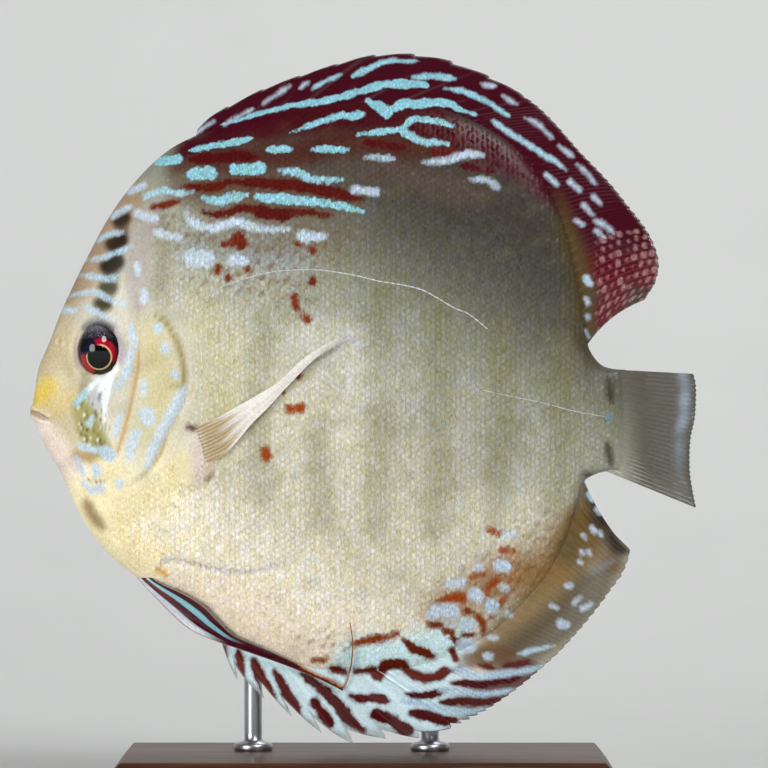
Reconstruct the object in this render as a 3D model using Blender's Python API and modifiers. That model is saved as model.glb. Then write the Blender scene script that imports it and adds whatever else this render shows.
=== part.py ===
"""A discus fish as a still, life-size display model, on a plain stand.

Metres, +Z up. The head points to -X, the left flank faces -Y, and the origin is the middle of
the underside of the stand's base. The lists of points below are side-view outlines in
millimetres: (along the fish, above its middle line), with the snout at -75 and the tail at +75.
"""

import math

import bmesh
import bpy
import numpy as np
from mathutils import Vector

MM = 0.001
GAP = 0.3

# Stand: a flat base and two short rods on the right side of the fish
BASE_LENGTH = 112.0
BASE_WIDTH = 72.0
BASE_HEIGHT = 10.0
BASE_EDGE = 2.0
FIN_CLEARANCE = 2.2
ROD_SIDES = 16

# Whole fish: the lowest fin tip hangs this far below the middle line
LOWEST_TIP = 78.0
MIDDLE_HEIGHT = BASE_HEIGHT + FIN_CLEARANCE + LOWEST_TIP

# Side outline of the body without its fins, from the mouth to the root of the tail fin
TOP_OUTLINE = [
    (-74.1, -2.4), (-73.9, 1.5), (-73.0, 6.5), (-70.5, 12.5), (-68.0, 19.0), (-65.0, 25.5),
    (-61.5, 32.5), (-58.0, 39.0), (-54.0, 45.0), (-49.0, 50.8), (-44.0, 55.2), (-39.0, 58.0),
    (-33.5, 60.2), (-25.5, 62.7), (-16.5, 64.8), (-5.5, 66.4), (6.0, 66.9), (16.0, 65.5),
    (26.0, 61.8), (35.0, 55.5), (41.5, 47.0), (45.5, 37.0), (48.0, 26.0), (49.5, 17.0),
    (50.6, 11.0), (53.0, 7.4), (55.6, 6.2),
]
BOTTOM_OUTLINE = [
    (-74.1, -4.4), (-73.7, -6.4), (-72.8, -8.8), (-71.3, -12.0), (-69.2, -15.4), (-67.0, -19.5),
    (-65.0, -24.2), (-62.6, -28.6), (-60.0, -32.4), (-56.6, -36.2), (-50.5, -41.2),
    (-43.5, -46.7), (-37.0, -51.4), (-29.5, -55.8), (-21.0, -59.2), (-11.0, -61.7), (-1.0, -62.6),
    (9.5, -61.9), (19.5, -59.0), (28.5, -54.0), (35.5, -47.6), (41.5, -40.2), (45.5, -32.5),
    (48.3, -24.5), (49.6, -19.4), (52.2, -17.6), (55.6, -16.8),
]

# Half of the body's thickness along the fish: at mid height, and on the narrow rim
HALF_WIDTH = [
    (-74.1, 2.3), (-73.0, 3.2), (-70.0, 4.9), (-65.0, 6.9), (-60.0, 8.6), (-54.0, 10.6),
    (-48.0, 12.2), (-40.0, 13.2), (-30.0, 13.6), (-15.0, 13.2), (0.0, 12.0), (15.0, 10.2),
    (30.0, 7.8), (40.0, 6.1), (47.0, 5.0), (52.0, 4.3), (55.6, 3.8),
]
RIM_HALF_WIDTH = [(-74.1, 1.9), (-65.0, 1.6), (-40.0, 1.3), (0.0, 1.2), (55.6, 1.1)]

# How round the cross-section is: half is an ellipse, one a lens with wedge-like edges
SECTION_POWER = [(-74.1, 0.5), (-60.0, 0.6), (-45.0, 0.75), (-20.0, 0.88), (40.0, 0.8), (55.6, 0.6)]

# Swelling at the root of each side fin
SHOULDER_AT = (-37.0, -12.5)
SHOULDER_RADIUS = 4.6
SHOULDER_HEIGHT = 1.1

BODY_STATIONS = 42
BODY_ROWS = 11

# Where the body is parted: behind the head, and ahead of the tail stalk
NECK_LINE = [
    (-40.0, 62.0), (-43.0, 56.0), (-46.0, 44.0), (-47.6, 33.0), (-47.8, 21.5), (-47.8, 8.0),
    (-49.5, -6.0), (-53.5, -19.0), (-59.3, -33.5), (-62.0, -39.0),
]
STALK_LINE = [(50.9, 16.0), (50.9, -24.0)]

# Gill cover: front and rear edge
COVER_FRONT = [
    (-50.2, 17.5), (-50.6, 9.0), (-51.2, 2.5), (-52.5, -2.5), (-53.8, -7.0), (-55.0, -11.5),
    (-56.4, -16.0), (-57.2, -20.0),
]
COVER_REAR = [
    (-47.2, 19.2), (-44.0, 17.4), (-41.5, 13.3), (-40.0, 8.2), (-39.5, 4.0), (-40.2, -0.3),
    (-42.0, -4.8), (-44.0, -8.4), (-45.6, -12.2), (-47.6, -15.8), (-50.5, -18.6), (-54.6, -21.4),
]
COVER_THICKNESS = 1.1
COVER_RAISE = 0.55
COVER_ROWS = 14
COVER_COLUMNS = 5

# Eye and the raised rim round it
EYE_AT = (-60.0, 9.6)
EYE_RADIUS = 5.3
EYE_DEPTH_RADIUS = 4.2
EYE_PROUD = 2.0
ORBIT_RADIUS = 5.15
ORBIT_RIM = 0.6
ORBIT_STEPS = 20
ORBIT_SIDES = 5

# Mouth: corner and front of the slit, and the two lips
MOUTH_FRONT = (-75.0, -3.5)
MOUTH_CORNER = (-70.9, -6.1)
MOUTH_SLIT = 0.4
LIP_RADIUS = 0.95
LIP_HALF_WIDTH = 3.3
LIP_STEPS = 10
LIP_SIDES = 6

# Nostrils
NOSTRIL_AT = (-68.3, 12.2)
NOSTRIL_RADIUS = 1.1
NOSTRIL_PIT = 0.55
NOSTRIL_HEIGHT = 0.45

# Half thickness of the fins at the root and the edge, and how far the rays stand out of the web
MIDDLE_FIN_HALF = 0.75
SIDE_FIN_HALF = 0.36
FIN_EDGE_HALF = 0.25
MIDDLE_FIN_RIDGE = 0.3
SIDE_FIN_RIDGE = 0.16

# Dorsal fin: outer edge, from the nape over the rear lobe to the last ray
DORSAL_ROOT = (-38.4, 49.6)
DORSAL_EDGE = [
    (-37.2, 60.8), (-34.0, 63.3), (-27.5, 66.8), (-20.5, 70.0), (-12.5, 72.8), (-7.0, 74.5),
    (1.0, 76.8), (8.5, 77.5), (15.5, 76.7), (21.0, 75.0), (29.0, 71.8), (34.5, 68.7),
    (39.5, 65.0), (44.0, 60.5), (49.0, 54.8), (55.0, 48.5), (59.5, 43.0), (64.0, 37.0),
    (66.4, 31.0), (65.9, 26.0), (63.4, 21.8),
]
DORSAL_SPLIT = 0.58
DORSAL_SPINES = 10
DORSAL_SOFT_RAYS = 14
DORSAL_LEAN = 1.4
DORSAL_BOW = -1.6
DORSAL_NOTCH = 0.9
DORSAL_ROWS = (4, 6)

# Anal fin: outer edge, from the first spine to the rear corner
ANAL_ROOT = (-32.6, 49.3)
ANAL_EDGE = [
    (-31.6, -58.6), (-27.6, -65.0), (-20.6, -69.2), (-13.4, -73.9), (-3.6, -78.0), (4.5, -77.2),
    (13.0, -76.9), (18.0, -75.5), (25.0, -72.2), (30.5, -68.8), (36.0, -64.8), (43.0, -58.7),
    (47.5, -54.0), (52.0, -48.7), (55.6, -43.8), (58.4, -39.8), (60.0, -35.0), (58.2, -33.2),
]
ANAL_SPLIT = 0.50
ANAL_SPINES = 8
ANAL_SOFT_RAYS = 13
ANAL_LEAN = 1.6
ANAL_BOW = 0.8
ANAL_NOTCH = 4.2
ANAL_NOTCH_FADE = 1.4
ANAL_ROWS = (4, 6)

# Half of the slit between the spiny and soft parts of a fin, as a share of its edge
FIN_SLIT = 0.0012

# Tail fin: root on the stalk, rear edge
TAIL_ROOT_X = 55.6
TAIL_EDGE = [
    (74.3, 5.0), (75.0, 2.0), (74.8, -4.5), (73.6, -10.0), (73.5, -16.5), (74.1, -21.0),
    (75.0, -25.2),
]
TAIL_RAYS = 12
TAIL_ROWS = 5

# Side fin, swept up and back along the flank: upper and lower edge
PECTORAL_TOP = [
    (-37.6, -7.0), (-32.5, -4.6), (-27.5, -2.0), (-24.0, 0.0), (-19.0, 3.1), (-13.5, 8.2),
    (-8.0, 11.8), (-3.4, 13.6),
]
PECTORAL_LOW = [
    (-35.2, -15.0), (-30.6, -12.8), (-27.6, -9.6), (-24.6, -6.0), (-21.0, -2.4), (-16.4, 2.6),
    (-10.4, 8.6), (-3.6, 13.1),
]
PECTORAL_RAYS = 7
PECTORAL_LIFT = 1.6
SIDE_FIN_ROWS = 9

# Belly fin, folded back along the belly: inner and outer edge
PELVIC_TOP = [
    (-45.2, -42.0), (-39.5, -44.4), (-35.2, -47.2), (-32.5, -50.2), (-29.0, -53.6),
    (-24.0, -56.4), (-15.5, -60.4), (-4.6, -65.9),
]
PELVIC_LOW = [
    (-49.6, -42.4), (-44.8, -47.4), (-39.5, -52.6), (-33.5, -56.0), (-26.5, -59.2),
    (-18.5, -61.6), (-10.5, -64.4), (-4.6, -66.5),
]
PELVIC_RAYS = 5
PELVIC_OFFSET = 0.55
PELVIC_LIFT = 0.3

# Rod places: along the fish, out from its middle plane, radius
RODS = {"stand_rod_front": (-25.0, 6.9, 2.0), "stand_rod_rear": (15.0, 6.3, 2.0)}

COLOURS = {
    "flank": ((0.46, 0.44, 0.33), 0.30),
    "head": ((0.70, 0.60, 0.36), 0.28),
    "cover": ((0.62, 0.60, 0.42), 0.26),
    "eye": ((0.30, 0.01, 0.03), 0.08),
    "fin_red": ((0.20, 0.03, 0.04), 0.30),
    "fin_brown": ((0.34, 0.20, 0.09), 0.32),
    "fin_clear": ((0.42, 0.40, 0.38), 0.22),
    "fin_pale": ((0.80, 0.72, 0.62), 0.25),
    "base": ((0.09, 0.045, 0.025), 0.35),
    "rod": ((0.55, 0.55, 0.56), 0.25),
}


# Scene and materials

def clear_scene():
    for item in list(bpy.data.objects):
        bpy.data.objects.remove(item, do_unlink=True)


def new_collection(name):
    collection = bpy.data.collections.new(name)
    bpy.context.scene.collection.children.link(collection)
    return collection


def new_material(name):
    colour, roughness = COLOURS[name]
    material = bpy.data.materials.new(name)
    material.use_nodes = True
    shader = material.node_tree.nodes["Principled BSDF"]
    shader.inputs["Base Color"].default_value = (*colour, 1.0)
    shader.inputs["Roughness"].default_value = roughness
    shader.inputs["Metallic"].default_value = 1.0 if name == "rod" else 0.0
    return material


# Curves in the side view

def smooth(points, per_span=12):
    """A Catmull-Rom curve through the points, sampled closely."""
    knots = np.array([points[0], *points, points[-1]], float)
    knots[0] = 2 * knots[1] - knots[2]
    knots[-1] = 2 * knots[-2] - knots[-3]
    samples = []
    for a, b, c, d in zip(knots[:-3], knots[1:-2], knots[2:-1], knots[3:]):
        for t in np.linspace(0.0, 1.0, per_span, endpoint=False):
            samples.append(0.5 * (2 * b + (c - a) * t + (2 * a - 5 * b + 4 * c - d) * t ** 2
                                  + (3 * b - a - 3 * c + d) * t ** 3))
    samples.append(knots[-2])
    return np.array(samples)


def along(curve, fractions):
    """Points at these fractions of a sampled curve's length."""
    steps = np.linalg.norm(np.diff(curve, axis=0), axis=1)
    length = np.concatenate([[0.0], np.cumsum(steps)])
    wanted = np.asarray(fractions) * length[-1]
    return np.stack([np.interp(wanted, length, curve[:, i]) for i in (0, 1)], axis=-1)


def offset(curve, distance):
    """The sampled curve moved to its left by a distance."""
    run = np.gradient(curve, axis=0)
    run /= np.linalg.norm(run, axis=1)[:, None]
    return curve + distance * np.stack([-run[:, 1], run[:, 0]], axis=-1)


TOP = smooth(TOP_OUTLINE)
BOTTOM = smooth(BOTTOM_OUTLINE)


def read(table, x):
    knots = np.array(table)
    return np.interp(x, knots[:, 0], knots[:, 1])


WIDTH_CURVE = smooth(HALF_WIDTH)


def half_thickness(x, z):
    """Half of the body's thickness at a place in the side view, in millimetres."""
    top = np.interp(x, np.maximum.accumulate(TOP[:, 0]), TOP[:, 1])
    bottom = np.interp(x, np.maximum.accumulate(BOTTOM[:, 0]), BOTTOM[:, 1])
    wide = np.interp(x, WIDTH_CURVE[:, 0], WIDTH_CURVE[:, 1])
    rim = read(RIM_HALF_WIDTH, x)
    height = np.clip(np.abs(2 * z - top - bottom) / (top - bottom), 0.0, 1.0)
    swell = np.exp(-((x - SHOULDER_AT[0]) ** 2 + (z - SHOULDER_AT[1]) ** 2) / SHOULDER_RADIUS ** 2)
    return rim + (wide - rim) * (1 - height ** 2) ** read(SECTION_POWER, x) + SHOULDER_HEIGHT * swell


def flank_frame(x, z):
    """A point of the left flank and the direction that it faces."""
    step = 0.2
    slope_x = (half_thickness(x + step, z) - half_thickness(x - step, z)) / (2 * step)
    slope_z = (half_thickness(x, z + step) - half_thickness(x, z - step)) / (2 * step)
    place = Vector((x, -float(half_thickness(x, z)), z))
    return place, Vector((-slope_x, -1.0, -slope_z)).normalized()


# Meshes

def make_object(name, bm, collection, material=None):
    """Turns a bmesh in fish millimetres into an object that stands in its place."""
    for vert in bm.verts:
        vert.co.z += MIDDLE_HEIGHT
        vert.co *= MM
    bmesh.ops.recalc_face_normals(bm, faces=bm.faces)
    if bm.calc_volume(signed=True) < 0:
        bmesh.ops.reverse_faces(bm, faces=bm.faces)
    mesh = bpy.data.meshes.new(name)
    bm.to_mesh(mesh)
    bm.free()
    if material:
        mesh.materials.append(material)
    item = bpy.data.objects.new(name, mesh)
    collection.objects.link(item)
    return item


def loft(rings):
    """A closed skin over rings of points, each ring capped at the ends."""
    bm = bmesh.new()
    loops = [[bm.verts.new(point) for point in ring] for ring in rings]
    count = len(loops[0])
    for first, second in zip(loops[:-1], loops[1:]):
        for i in range(count):
            bm.faces.new((first[i], first[(i + 1) % count], second[(i + 1) % count], second[i]))
    bm.faces.new(loops[0])
    bm.faces.new(loops[-1])
    bmesh.ops.triangulate(bm, faces=bm.faces)
    return bm


def sheet(places, near, far):
    """A closed sheet over a grid of (x, z) places, its two faces split into triangles alike."""
    bm = bmesh.new()
    rows, columns = places.shape[:2]
    faces = []
    for depth in (near, far):
        faces.append([[bm.verts.new((places[i, j, 0], depth[i, j], places[i, j, 1]))
                       for j in range(columns)] for i in range(rows)])
    for grid in faces:
        for i in range(rows - 1):
            for j in range(columns - 1):
                a, b, c, d = grid[i][j], grid[i + 1][j], grid[i + 1][j + 1], grid[i][j + 1]
                bm.faces.new((a, b, c))
                bm.faces.new((a, c, d))
    border = [(i, 0) for i in range(rows)] + [(rows - 1, j) for j in range(1, columns)]
    border += [(i, columns - 1) for i in range(rows - 2, -1, -1)]
    border += [(0, j) for j in range(columns - 2, 0, -1)]
    for (i, j), (k, m) in zip(border, border[1:] + border[:1]):
        a, b, c, d = faces[0][i][j], faces[0][k][m], faces[1][k][m], faces[1][i][j]
        bm.faces.new((a, b, c))
        bm.faces.new((a, c, d))
    return bm


def mirrored(bm):
    """A copy of a bmesh on the other side of the fish's middle plane."""
    copy = bm.copy()
    for vert in copy.verts:
        vert.co.y = -vert.co.y
    return copy


def evaluated_mesh(item):
    graph = bpy.context.evaluated_depsgraph_get()
    return bpy.data.meshes.new_from_object(item.evaluated_get(graph), depsgraph=graph)


def boolean(target, pieces, operation):
    """Joins the closed pieces to the target, or cuts them from it, and removes them."""
    group = new_collection("joining")
    for piece in pieces:
        for home in list(piece.users_collection):
            home.objects.unlink(piece)
        group.objects.link(piece)
    modifier = target.modifiers.new("boolean", "BOOLEAN")
    modifier.operand_type = "COLLECTION"
    modifier.collection = group
    modifier.operation = operation
    mesh = evaluated_mesh(target)
    target.modifiers.clear()
    old = target.data
    target.data = mesh
    bpy.data.meshes.remove(old)
    for piece in pieces:
        bpy.data.objects.remove(piece, do_unlink=True)
    bpy.data.collections.remove(group)


def shells(bm):
    """The connected surfaces of a bmesh, as lists of faces, the largest first."""
    left = set(bm.faces)
    found = []
    while left:
        stack = [left.pop()]
        shell = []
        while stack:
            face = stack.pop()
            shell.append(face)
            for edge in face.edges:
                for other in edge.link_faces:
                    if other in left:
                        left.remove(other)
                        stack.append(other)
        found.append(shell)
    return sorted(found, key=lambda shell: -sum(face.calc_area() for face in shell))


def keep_largest(item):
    bm = bmesh.new()
    bm.from_mesh(item.data)
    bmesh.ops.triangulate(bm, faces=bm.faces)
    extra = [face for shell in shells(bm)[1:] for face in shell]
    bmesh.ops.delete(bm, geom=extra, context="FACES")
    loose = [vert for vert in bm.verts if not vert.link_faces]
    bmesh.ops.delete(bm, geom=loose, context="VERTS")
    bm.to_mesh(item.data)
    bm.free()


def finish(item, material, sharp_angle=40.0):
    item.data.materials.clear()
    item.data.materials.append(material)
    item.data.shade_smooth()
    item.data.set_sharp_from_angle(angle=math.radians(sharp_angle))


# Body, parted into head, torso and tail stalk

def body_stations():
    """Places along the fish, close together where its outline is steep."""
    x = np.linspace(TOP[0, 0], TOP[-1, 0], 4000)
    run = np.zeros_like(x)
    for line in (TOP, BOTTOM):
        rise = np.interp(x, np.maximum.accumulate(line[:, 0]), line[:, 1])
        run[1:] += np.cumsum(np.hypot(np.diff(x), np.diff(rise)))
    return np.interp(np.linspace(0.0, run[-1], BODY_STATIONS), run, x)


def whole_body(collection):
    heights = np.sin(np.linspace(-math.pi / 2, math.pi / 2, BODY_ROWS))
    rings = []
    for x in body_stations():
        top = np.interp(x, np.maximum.accumulate(TOP[:, 0]), TOP[:, 1])
        bottom = np.interp(x, np.maximum.accumulate(BOTTOM[:, 0]), BOTTOM[:, 1])
        z = (top + bottom) / 2 + heights * (top - bottom) / 2
        half = half_thickness(x, z)
        left = [(x, -y, h) for y, h in zip(half, z)]
        right = [(x, y, h) for y, h in zip(half[::-1], z[::-1])]
        rings.append(left + right)
    return make_object("body", loft(rings), collection)


def thin_wall(line, name, collection):
    """A wall as thick as the gap, standing on a line of the side view through the whole body."""
    curve = smooth(line, 4)
    places = np.stack([offset(curve, GAP / 2), offset(curve, -GAP / 2)], axis=1)
    reach = np.full(places.shape[:2], 30.0)
    return make_object(name, sheet(places, -reach, reach), collection)


def split_off(item, names, collection):
    """Parts an object into its connected pieces, named from the snout to the tail."""
    bm = bmesh.new()
    bm.from_mesh(item.data)
    bmesh.ops.triangulate(bm, faces=bm.faces)
    groups = shells(bm)[:len(names)]
    groups.sort(key=lambda shell: sum(face.calc_center_median().x for face in shell) / len(shell))
    pieces = {}
    for name, shell in zip(names, groups):
        part = bmesh.new()
        verts = {}
        for face in shell:
            for vert in face.verts:
                if vert not in verts:
                    verts[vert] = part.verts.new(vert.co)
            part.faces.new([verts[vert] for vert in face.verts])
        mesh = bpy.data.meshes.new(name)
        part.to_mesh(mesh)
        part.free()
        pieces[name] = bpy.data.objects.new(name, mesh)
        collection.objects.link(pieces[name])
    bm.free()
    bpy.data.objects.remove(item, do_unlink=True)
    return pieces


# Gill covers

def cover_places(margin):
    """A grid over the gill cover, from its front edge to its rear edge."""
    rows = np.linspace(0.0, 1.0, COVER_ROWS)
    front = along(smooth(COVER_FRONT), rows)
    rear = along(smooth(COVER_REAR), rows)
    across = np.linspace(0.0, 1.0, COVER_COLUMNS)[None, :, None]
    places = front[:, None] * (1 - across) + rear[:, None] * across
    centre = places.mean(axis=(0, 1))
    run = places - centre
    return places + margin * run / np.linalg.norm(run, axis=2, keepdims=True)


def cover_solid():
    """The flap of the left gill cover, rising a little towards its free rear edge."""
    places = cover_places(0.0)
    skin = half_thickness(places[..., 0], places[..., 1])
    rise = COVER_RAISE * np.linspace(0.0, 1.0, COVER_COLUMNS)[None, :] ** 0.7
    return sheet(places, -(skin + rise), -(skin - COVER_THICKNESS))


def cover_recess():
    """The shallow bed that the left gill cover lies in."""
    places = cover_places(GAP)
    skin = half_thickness(places[..., 0], places[..., 1])
    return sheet(places, -(skin + 6.0), -(skin - COVER_THICKNESS - GAP))


# Eyes, mouth and nostrils

def eye_ball(grow):
    place, _ = flank_frame(*EYE_AT)
    bm = bmesh.new()
    bmesh.ops.create_uvsphere(bm, u_segments=16, v_segments=10, radius=1.0)
    size = (EYE_RADIUS + grow, EYE_RADIUS + grow, EYE_DEPTH_RADIUS + grow)
    depth = place.y - EYE_PROUD + EYE_DEPTH_RADIUS
    for vert in bm.verts:
        x, z, y = (vert.co[i] * size[i] for i in range(3))
        vert.co = (EYE_AT[0] + x, depth + y, EYE_AT[1] + z)
    return bm


def ring_round(centre, normal, radius, rim, steps, sides):
    """A ring with a round section, lying flat against a surface."""
    side = normal.cross(Vector((0.0, 0.0, 1.0))).normalized()
    up = side.cross(normal)
    bm = bmesh.new()
    loops = []
    section = [2 * math.pi * k / sides for k in range(sides)]
    for i in range(steps):
        turn = 2 * math.pi * i / steps
        out = side * math.cos(turn) + up * math.sin(turn)
        loops.append([bm.verts.new(centre + out * (radius + rim * math.cos(a)) + normal * rim * math.sin(a))
                      for a in section])
    for first, second in zip(loops, loops[1:] + loops[:1]):
        for i in range(sides):
            bm.faces.new((first[i], first[(i + 1) % sides], second[(i + 1) % sides], second[i]))
    return bm


def orbit_rim():
    place, normal = flank_frame(*EYE_AT)
    return ring_round(place, normal, ORBIT_RADIUS, ORBIT_RIM, ORBIT_STEPS, ORBIT_SIDES)


def lip(rise):
    """One lip, bent round the front of the mouth from corner to corner."""
    corner_x = MOUTH_CORNER[0]
    reach = MOUTH_FRONT[0] + LIP_RADIUS - corner_x
    section = [2 * math.pi * k / LIP_SIDES for k in range(LIP_SIDES)]
    up = Vector((0.0, 0.0, 1.0))
    rings = []
    for i in range(LIP_STEPS + 1):
        turn = math.pi * i / LIP_STEPS
        forward = math.sin(turn)
        x = corner_x + reach * forward
        y = -math.cos(turn) * LIP_HALF_WIDTH * (1.0 + 0.3 * (1 - forward))
        z = MOUTH_CORNER[1] + (MOUTH_FRONT[1] - MOUTH_CORNER[1]) * forward + rise * (0.4 + 0.6 * forward)
        tangent = Vector((reach * math.cos(turn), math.sin(turn) * LIP_HALF_WIDTH, 0.0)).normalized()
        out = tangent.cross(up)
        radius = LIP_RADIUS * (0.55 + 0.45 * forward)
        rings.append([Vector((x, y, z)) + radius * (out * math.cos(a) + up * math.sin(a)) for a in section])
    return loft(rings)


def mouth_slit():
    """A thin slot between the lips, through the whole width of the snout."""
    front = Vector((MOUTH_FRONT[0] - 1.5, 0.0, MOUTH_FRONT[1] + 0.95))
    corner = Vector((MOUTH_CORNER[0], 0.0, MOUTH_CORNER[1]))
    run = corner - front
    bm = bmesh.new()
    bmesh.ops.create_cube(bm, size=1.0)
    for vert in bm.verts:
        x, y, z = vert.co
        vert.co = (front + corner) / 2 + run * x + Vector((0.0, 12.0 * y, MOUTH_SLIT * z))
    return bm


def post(centre, normal, radius, low, high, sides):
    """A short round post along a direction, from low to high past its centre."""
    bm = bmesh.new()
    bmesh.ops.create_cone(bm, cap_ends=True, segments=sides, radius1=radius, radius2=radius, depth=1.0)
    turn = normal.to_track_quat("Z", "Y")
    for vert in bm.verts:
        x, y, z = vert.co
        vert.co = centre + turn @ Vector((x, y, low + (z + 0.5) * (high - low)))
    return bm


def nostril_rim():
    place, normal = flank_frame(*NOSTRIL_AT)
    return post(place, normal, NOSTRIL_RADIUS, -1.0, NOSTRIL_HEIGHT, 12)


def nostril_pit():
    place, normal = flank_frame(*NOSTRIL_AT)
    return post(place, normal, NOSTRIL_PIT, -0.7, 2.0, 8)


# Fins

def ray_columns(rays, start, end, notched):
    """Places across a fin: two flanks and a crest for each ray, and the membrane's middle where notched."""
    places = [start]
    crests = [0.0]
    notches = [1.0]
    width = (end - start) / rays
    for k in range(rays):
        middle = start + (k + 0.5) * width
        for shift, crest, notch in ((-0.22, 0.0, 0.45), (0.0, 1.0, 0.0), (0.22, 0.0, 0.45)):
            places.append(middle + shift * width)
            crests.append(crest)
            notches.append(notch)
        if notched or k == rays - 1:
            places.append(middle + 0.5 * width)
            crests.append(0.0)
            notches.append(1.0)
    return np.array(places), np.array(crests), np.array(notches)


def fan_places(root, edge, lean, across, down, bow, notch):
    """Places of a fin whose rays spread from a root, leaning back to its outer edge."""
    base = along(root, across ** lean)
    tip = along(edge, across)
    length = np.linalg.norm(tip - base, axis=1)
    reach = 1.0 - notch / np.maximum(length, 1.0)
    run = (tip - base) * reach[:, None]
    side = np.stack([run[:, 1], -run[:, 0]], axis=-1) / np.maximum(length, 1.0)[:, None]
    v = down[:, None, None]
    return base + run * v + side * bow[:, None] * 4 * v * (1 - v)


def blade_places(upper, lower, across, down):
    """Places of a folded fin whose rays run between two long edges."""
    first = along(smooth(upper), down)[:, None]
    second = along(smooth(lower), down)[:, None]
    u = across[None, :, None]
    return first * (1 - u) + second * u


def fin_half(down, crests, root_half, edge_half, ridge):
    """Half of a fin's thickness, with its rays raised."""
    taper = down[:, None]
    plain = root_half + (edge_half - root_half) * np.sqrt(taper)
    return plain + ridge * crests[None, :] * (1 - 0.6 * taper)


def middle_fin(root, edge, lean, rays, span, rows, bow, notch):
    """A fin on the middle plane of the fish."""
    across, crests, notches = ray_columns(rays, *span, notched=notch is not None)
    down = np.linspace(0.0, 1.0, rows)
    depth = notches * notch(across) if notch else 0.0 * across
    places = fan_places(root, edge, lean, across, down, bow * across ** 3, depth)
    half = fin_half(down, crests, MIDDLE_FIN_HALF, FIN_EDGE_HALF, MIDDLE_FIN_RIDGE)
    return sheet(places, -half, half)


def side_fin(upper, lower, rays, lift, offset_out):
    """A fin that lies along the left flank."""
    across, crests, _ = ray_columns(rays, 0.0, 1.0, notched=False)
    down = np.linspace(0.0, 1.0, SIDE_FIN_ROWS)
    places = blade_places(upper, lower, across, down)
    half = fin_half(down, crests, SIDE_FIN_HALF, FIN_EDGE_HALF, SIDE_FIN_RIDGE)
    skin = half_thickness(places[..., 0], places[..., 1])
    middle = skin + offset_out + SIDE_FIN_HALF + SIDE_FIN_RIDGE + lift * down[:, None]
    return sheet(places, -(middle + half), -(middle - half))


def root_on(line, start_x, end_x, out):
    """The stretch of a body outline between two places, moved out by the gap."""
    moved = offset(line, out)
    inside = (moved[:, 0] >= start_x) & (moved[:, 0] <= end_x)
    return moved[inside]


def tail_root():
    low = BOTTOM[-1, 1] + 0.3
    high = TOP[-1, 1] - 0.3
    x = TAIL_ROOT_X + GAP
    return np.array([(x, high), (x, (high + low) / 2), (x, low)])


# Stand

def rod(x, y, radius):
    """A rod from the base up to the right flank, its top shaped to the flank."""
    bm = bmesh.new()
    bmesh.ops.create_cone(bm, cap_ends=True, segments=ROD_SIDES, radius1=radius, radius2=radius, depth=1.0)
    foot = BASE_HEIGHT + GAP - MIDDLE_HEIGHT
    heights = np.linspace(-60.0, 0.0, 1200)
    for vert in bm.verts:
        px, py, pz = vert.co.x + x, vert.co.y + y, foot
        if vert.co.z > 0:
            flank = half_thickness(np.full_like(heights, px), heights)
            pz = float(np.interp(py - GAP, flank, heights)) - GAP
        vert.co = (px, py, pz)
    return bm


def stand_base():
    bm = bmesh.new()
    bmesh.ops.create_cube(bm, size=1.0)
    for vert in bm.verts:
        vert.co.x *= BASE_LENGTH
        vert.co.y *= BASE_WIDTH
        vert.co.z = (vert.co.z + 0.5) * BASE_HEIGHT - MIDDLE_HEIGHT
    return bm


# Build

def build_body(collection, colours):
    body = whole_body(collection)
    cuts = [thin_wall(NECK_LINE, "neck_cut", collection), thin_wall(STALK_LINE, "stalk_cut", collection)]
    recess = cover_recess()
    cuts.append(make_object("recess_right", mirrored(recess), collection))
    cuts.append(make_object("recess_left", recess, collection))
    boolean(body, cuts, "DIFFERENCE")
    pieces = split_off(body, ("head", "torso", "tail_stalk"), collection)

    head = pieces["head"]
    added = [make_object("lip", lip(rise), collection) for rise in (1.05, -1.05)]
    for shape in (orbit_rim(), nostril_rim()):
        added.append(make_object("added", mirrored(shape), collection))
        added.append(make_object("added", shape, collection))
    boolean(head, added, "UNION")
    cuts = [make_object("slit", mouth_slit(), collection)]
    for shape in (nostril_pit(), eye_ball(GAP)):
        cuts.append(make_object("cut", mirrored(shape), collection))
        cuts.append(make_object("cut", shape, collection))
    boolean(head, cuts, "DIFFERENCE")
    for name, item in pieces.items():
        keep_largest(item)
        finish(item, colours["head" if name == "head" else "flank"])


def build_pair(name, shape, collection, material, sharp_angle=40.0):
    right = mirrored(shape)
    finish(make_object(name + "_left", shape, collection), material, sharp_angle)
    finish(make_object(name + "_right", right, collection), material, sharp_angle)


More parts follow.
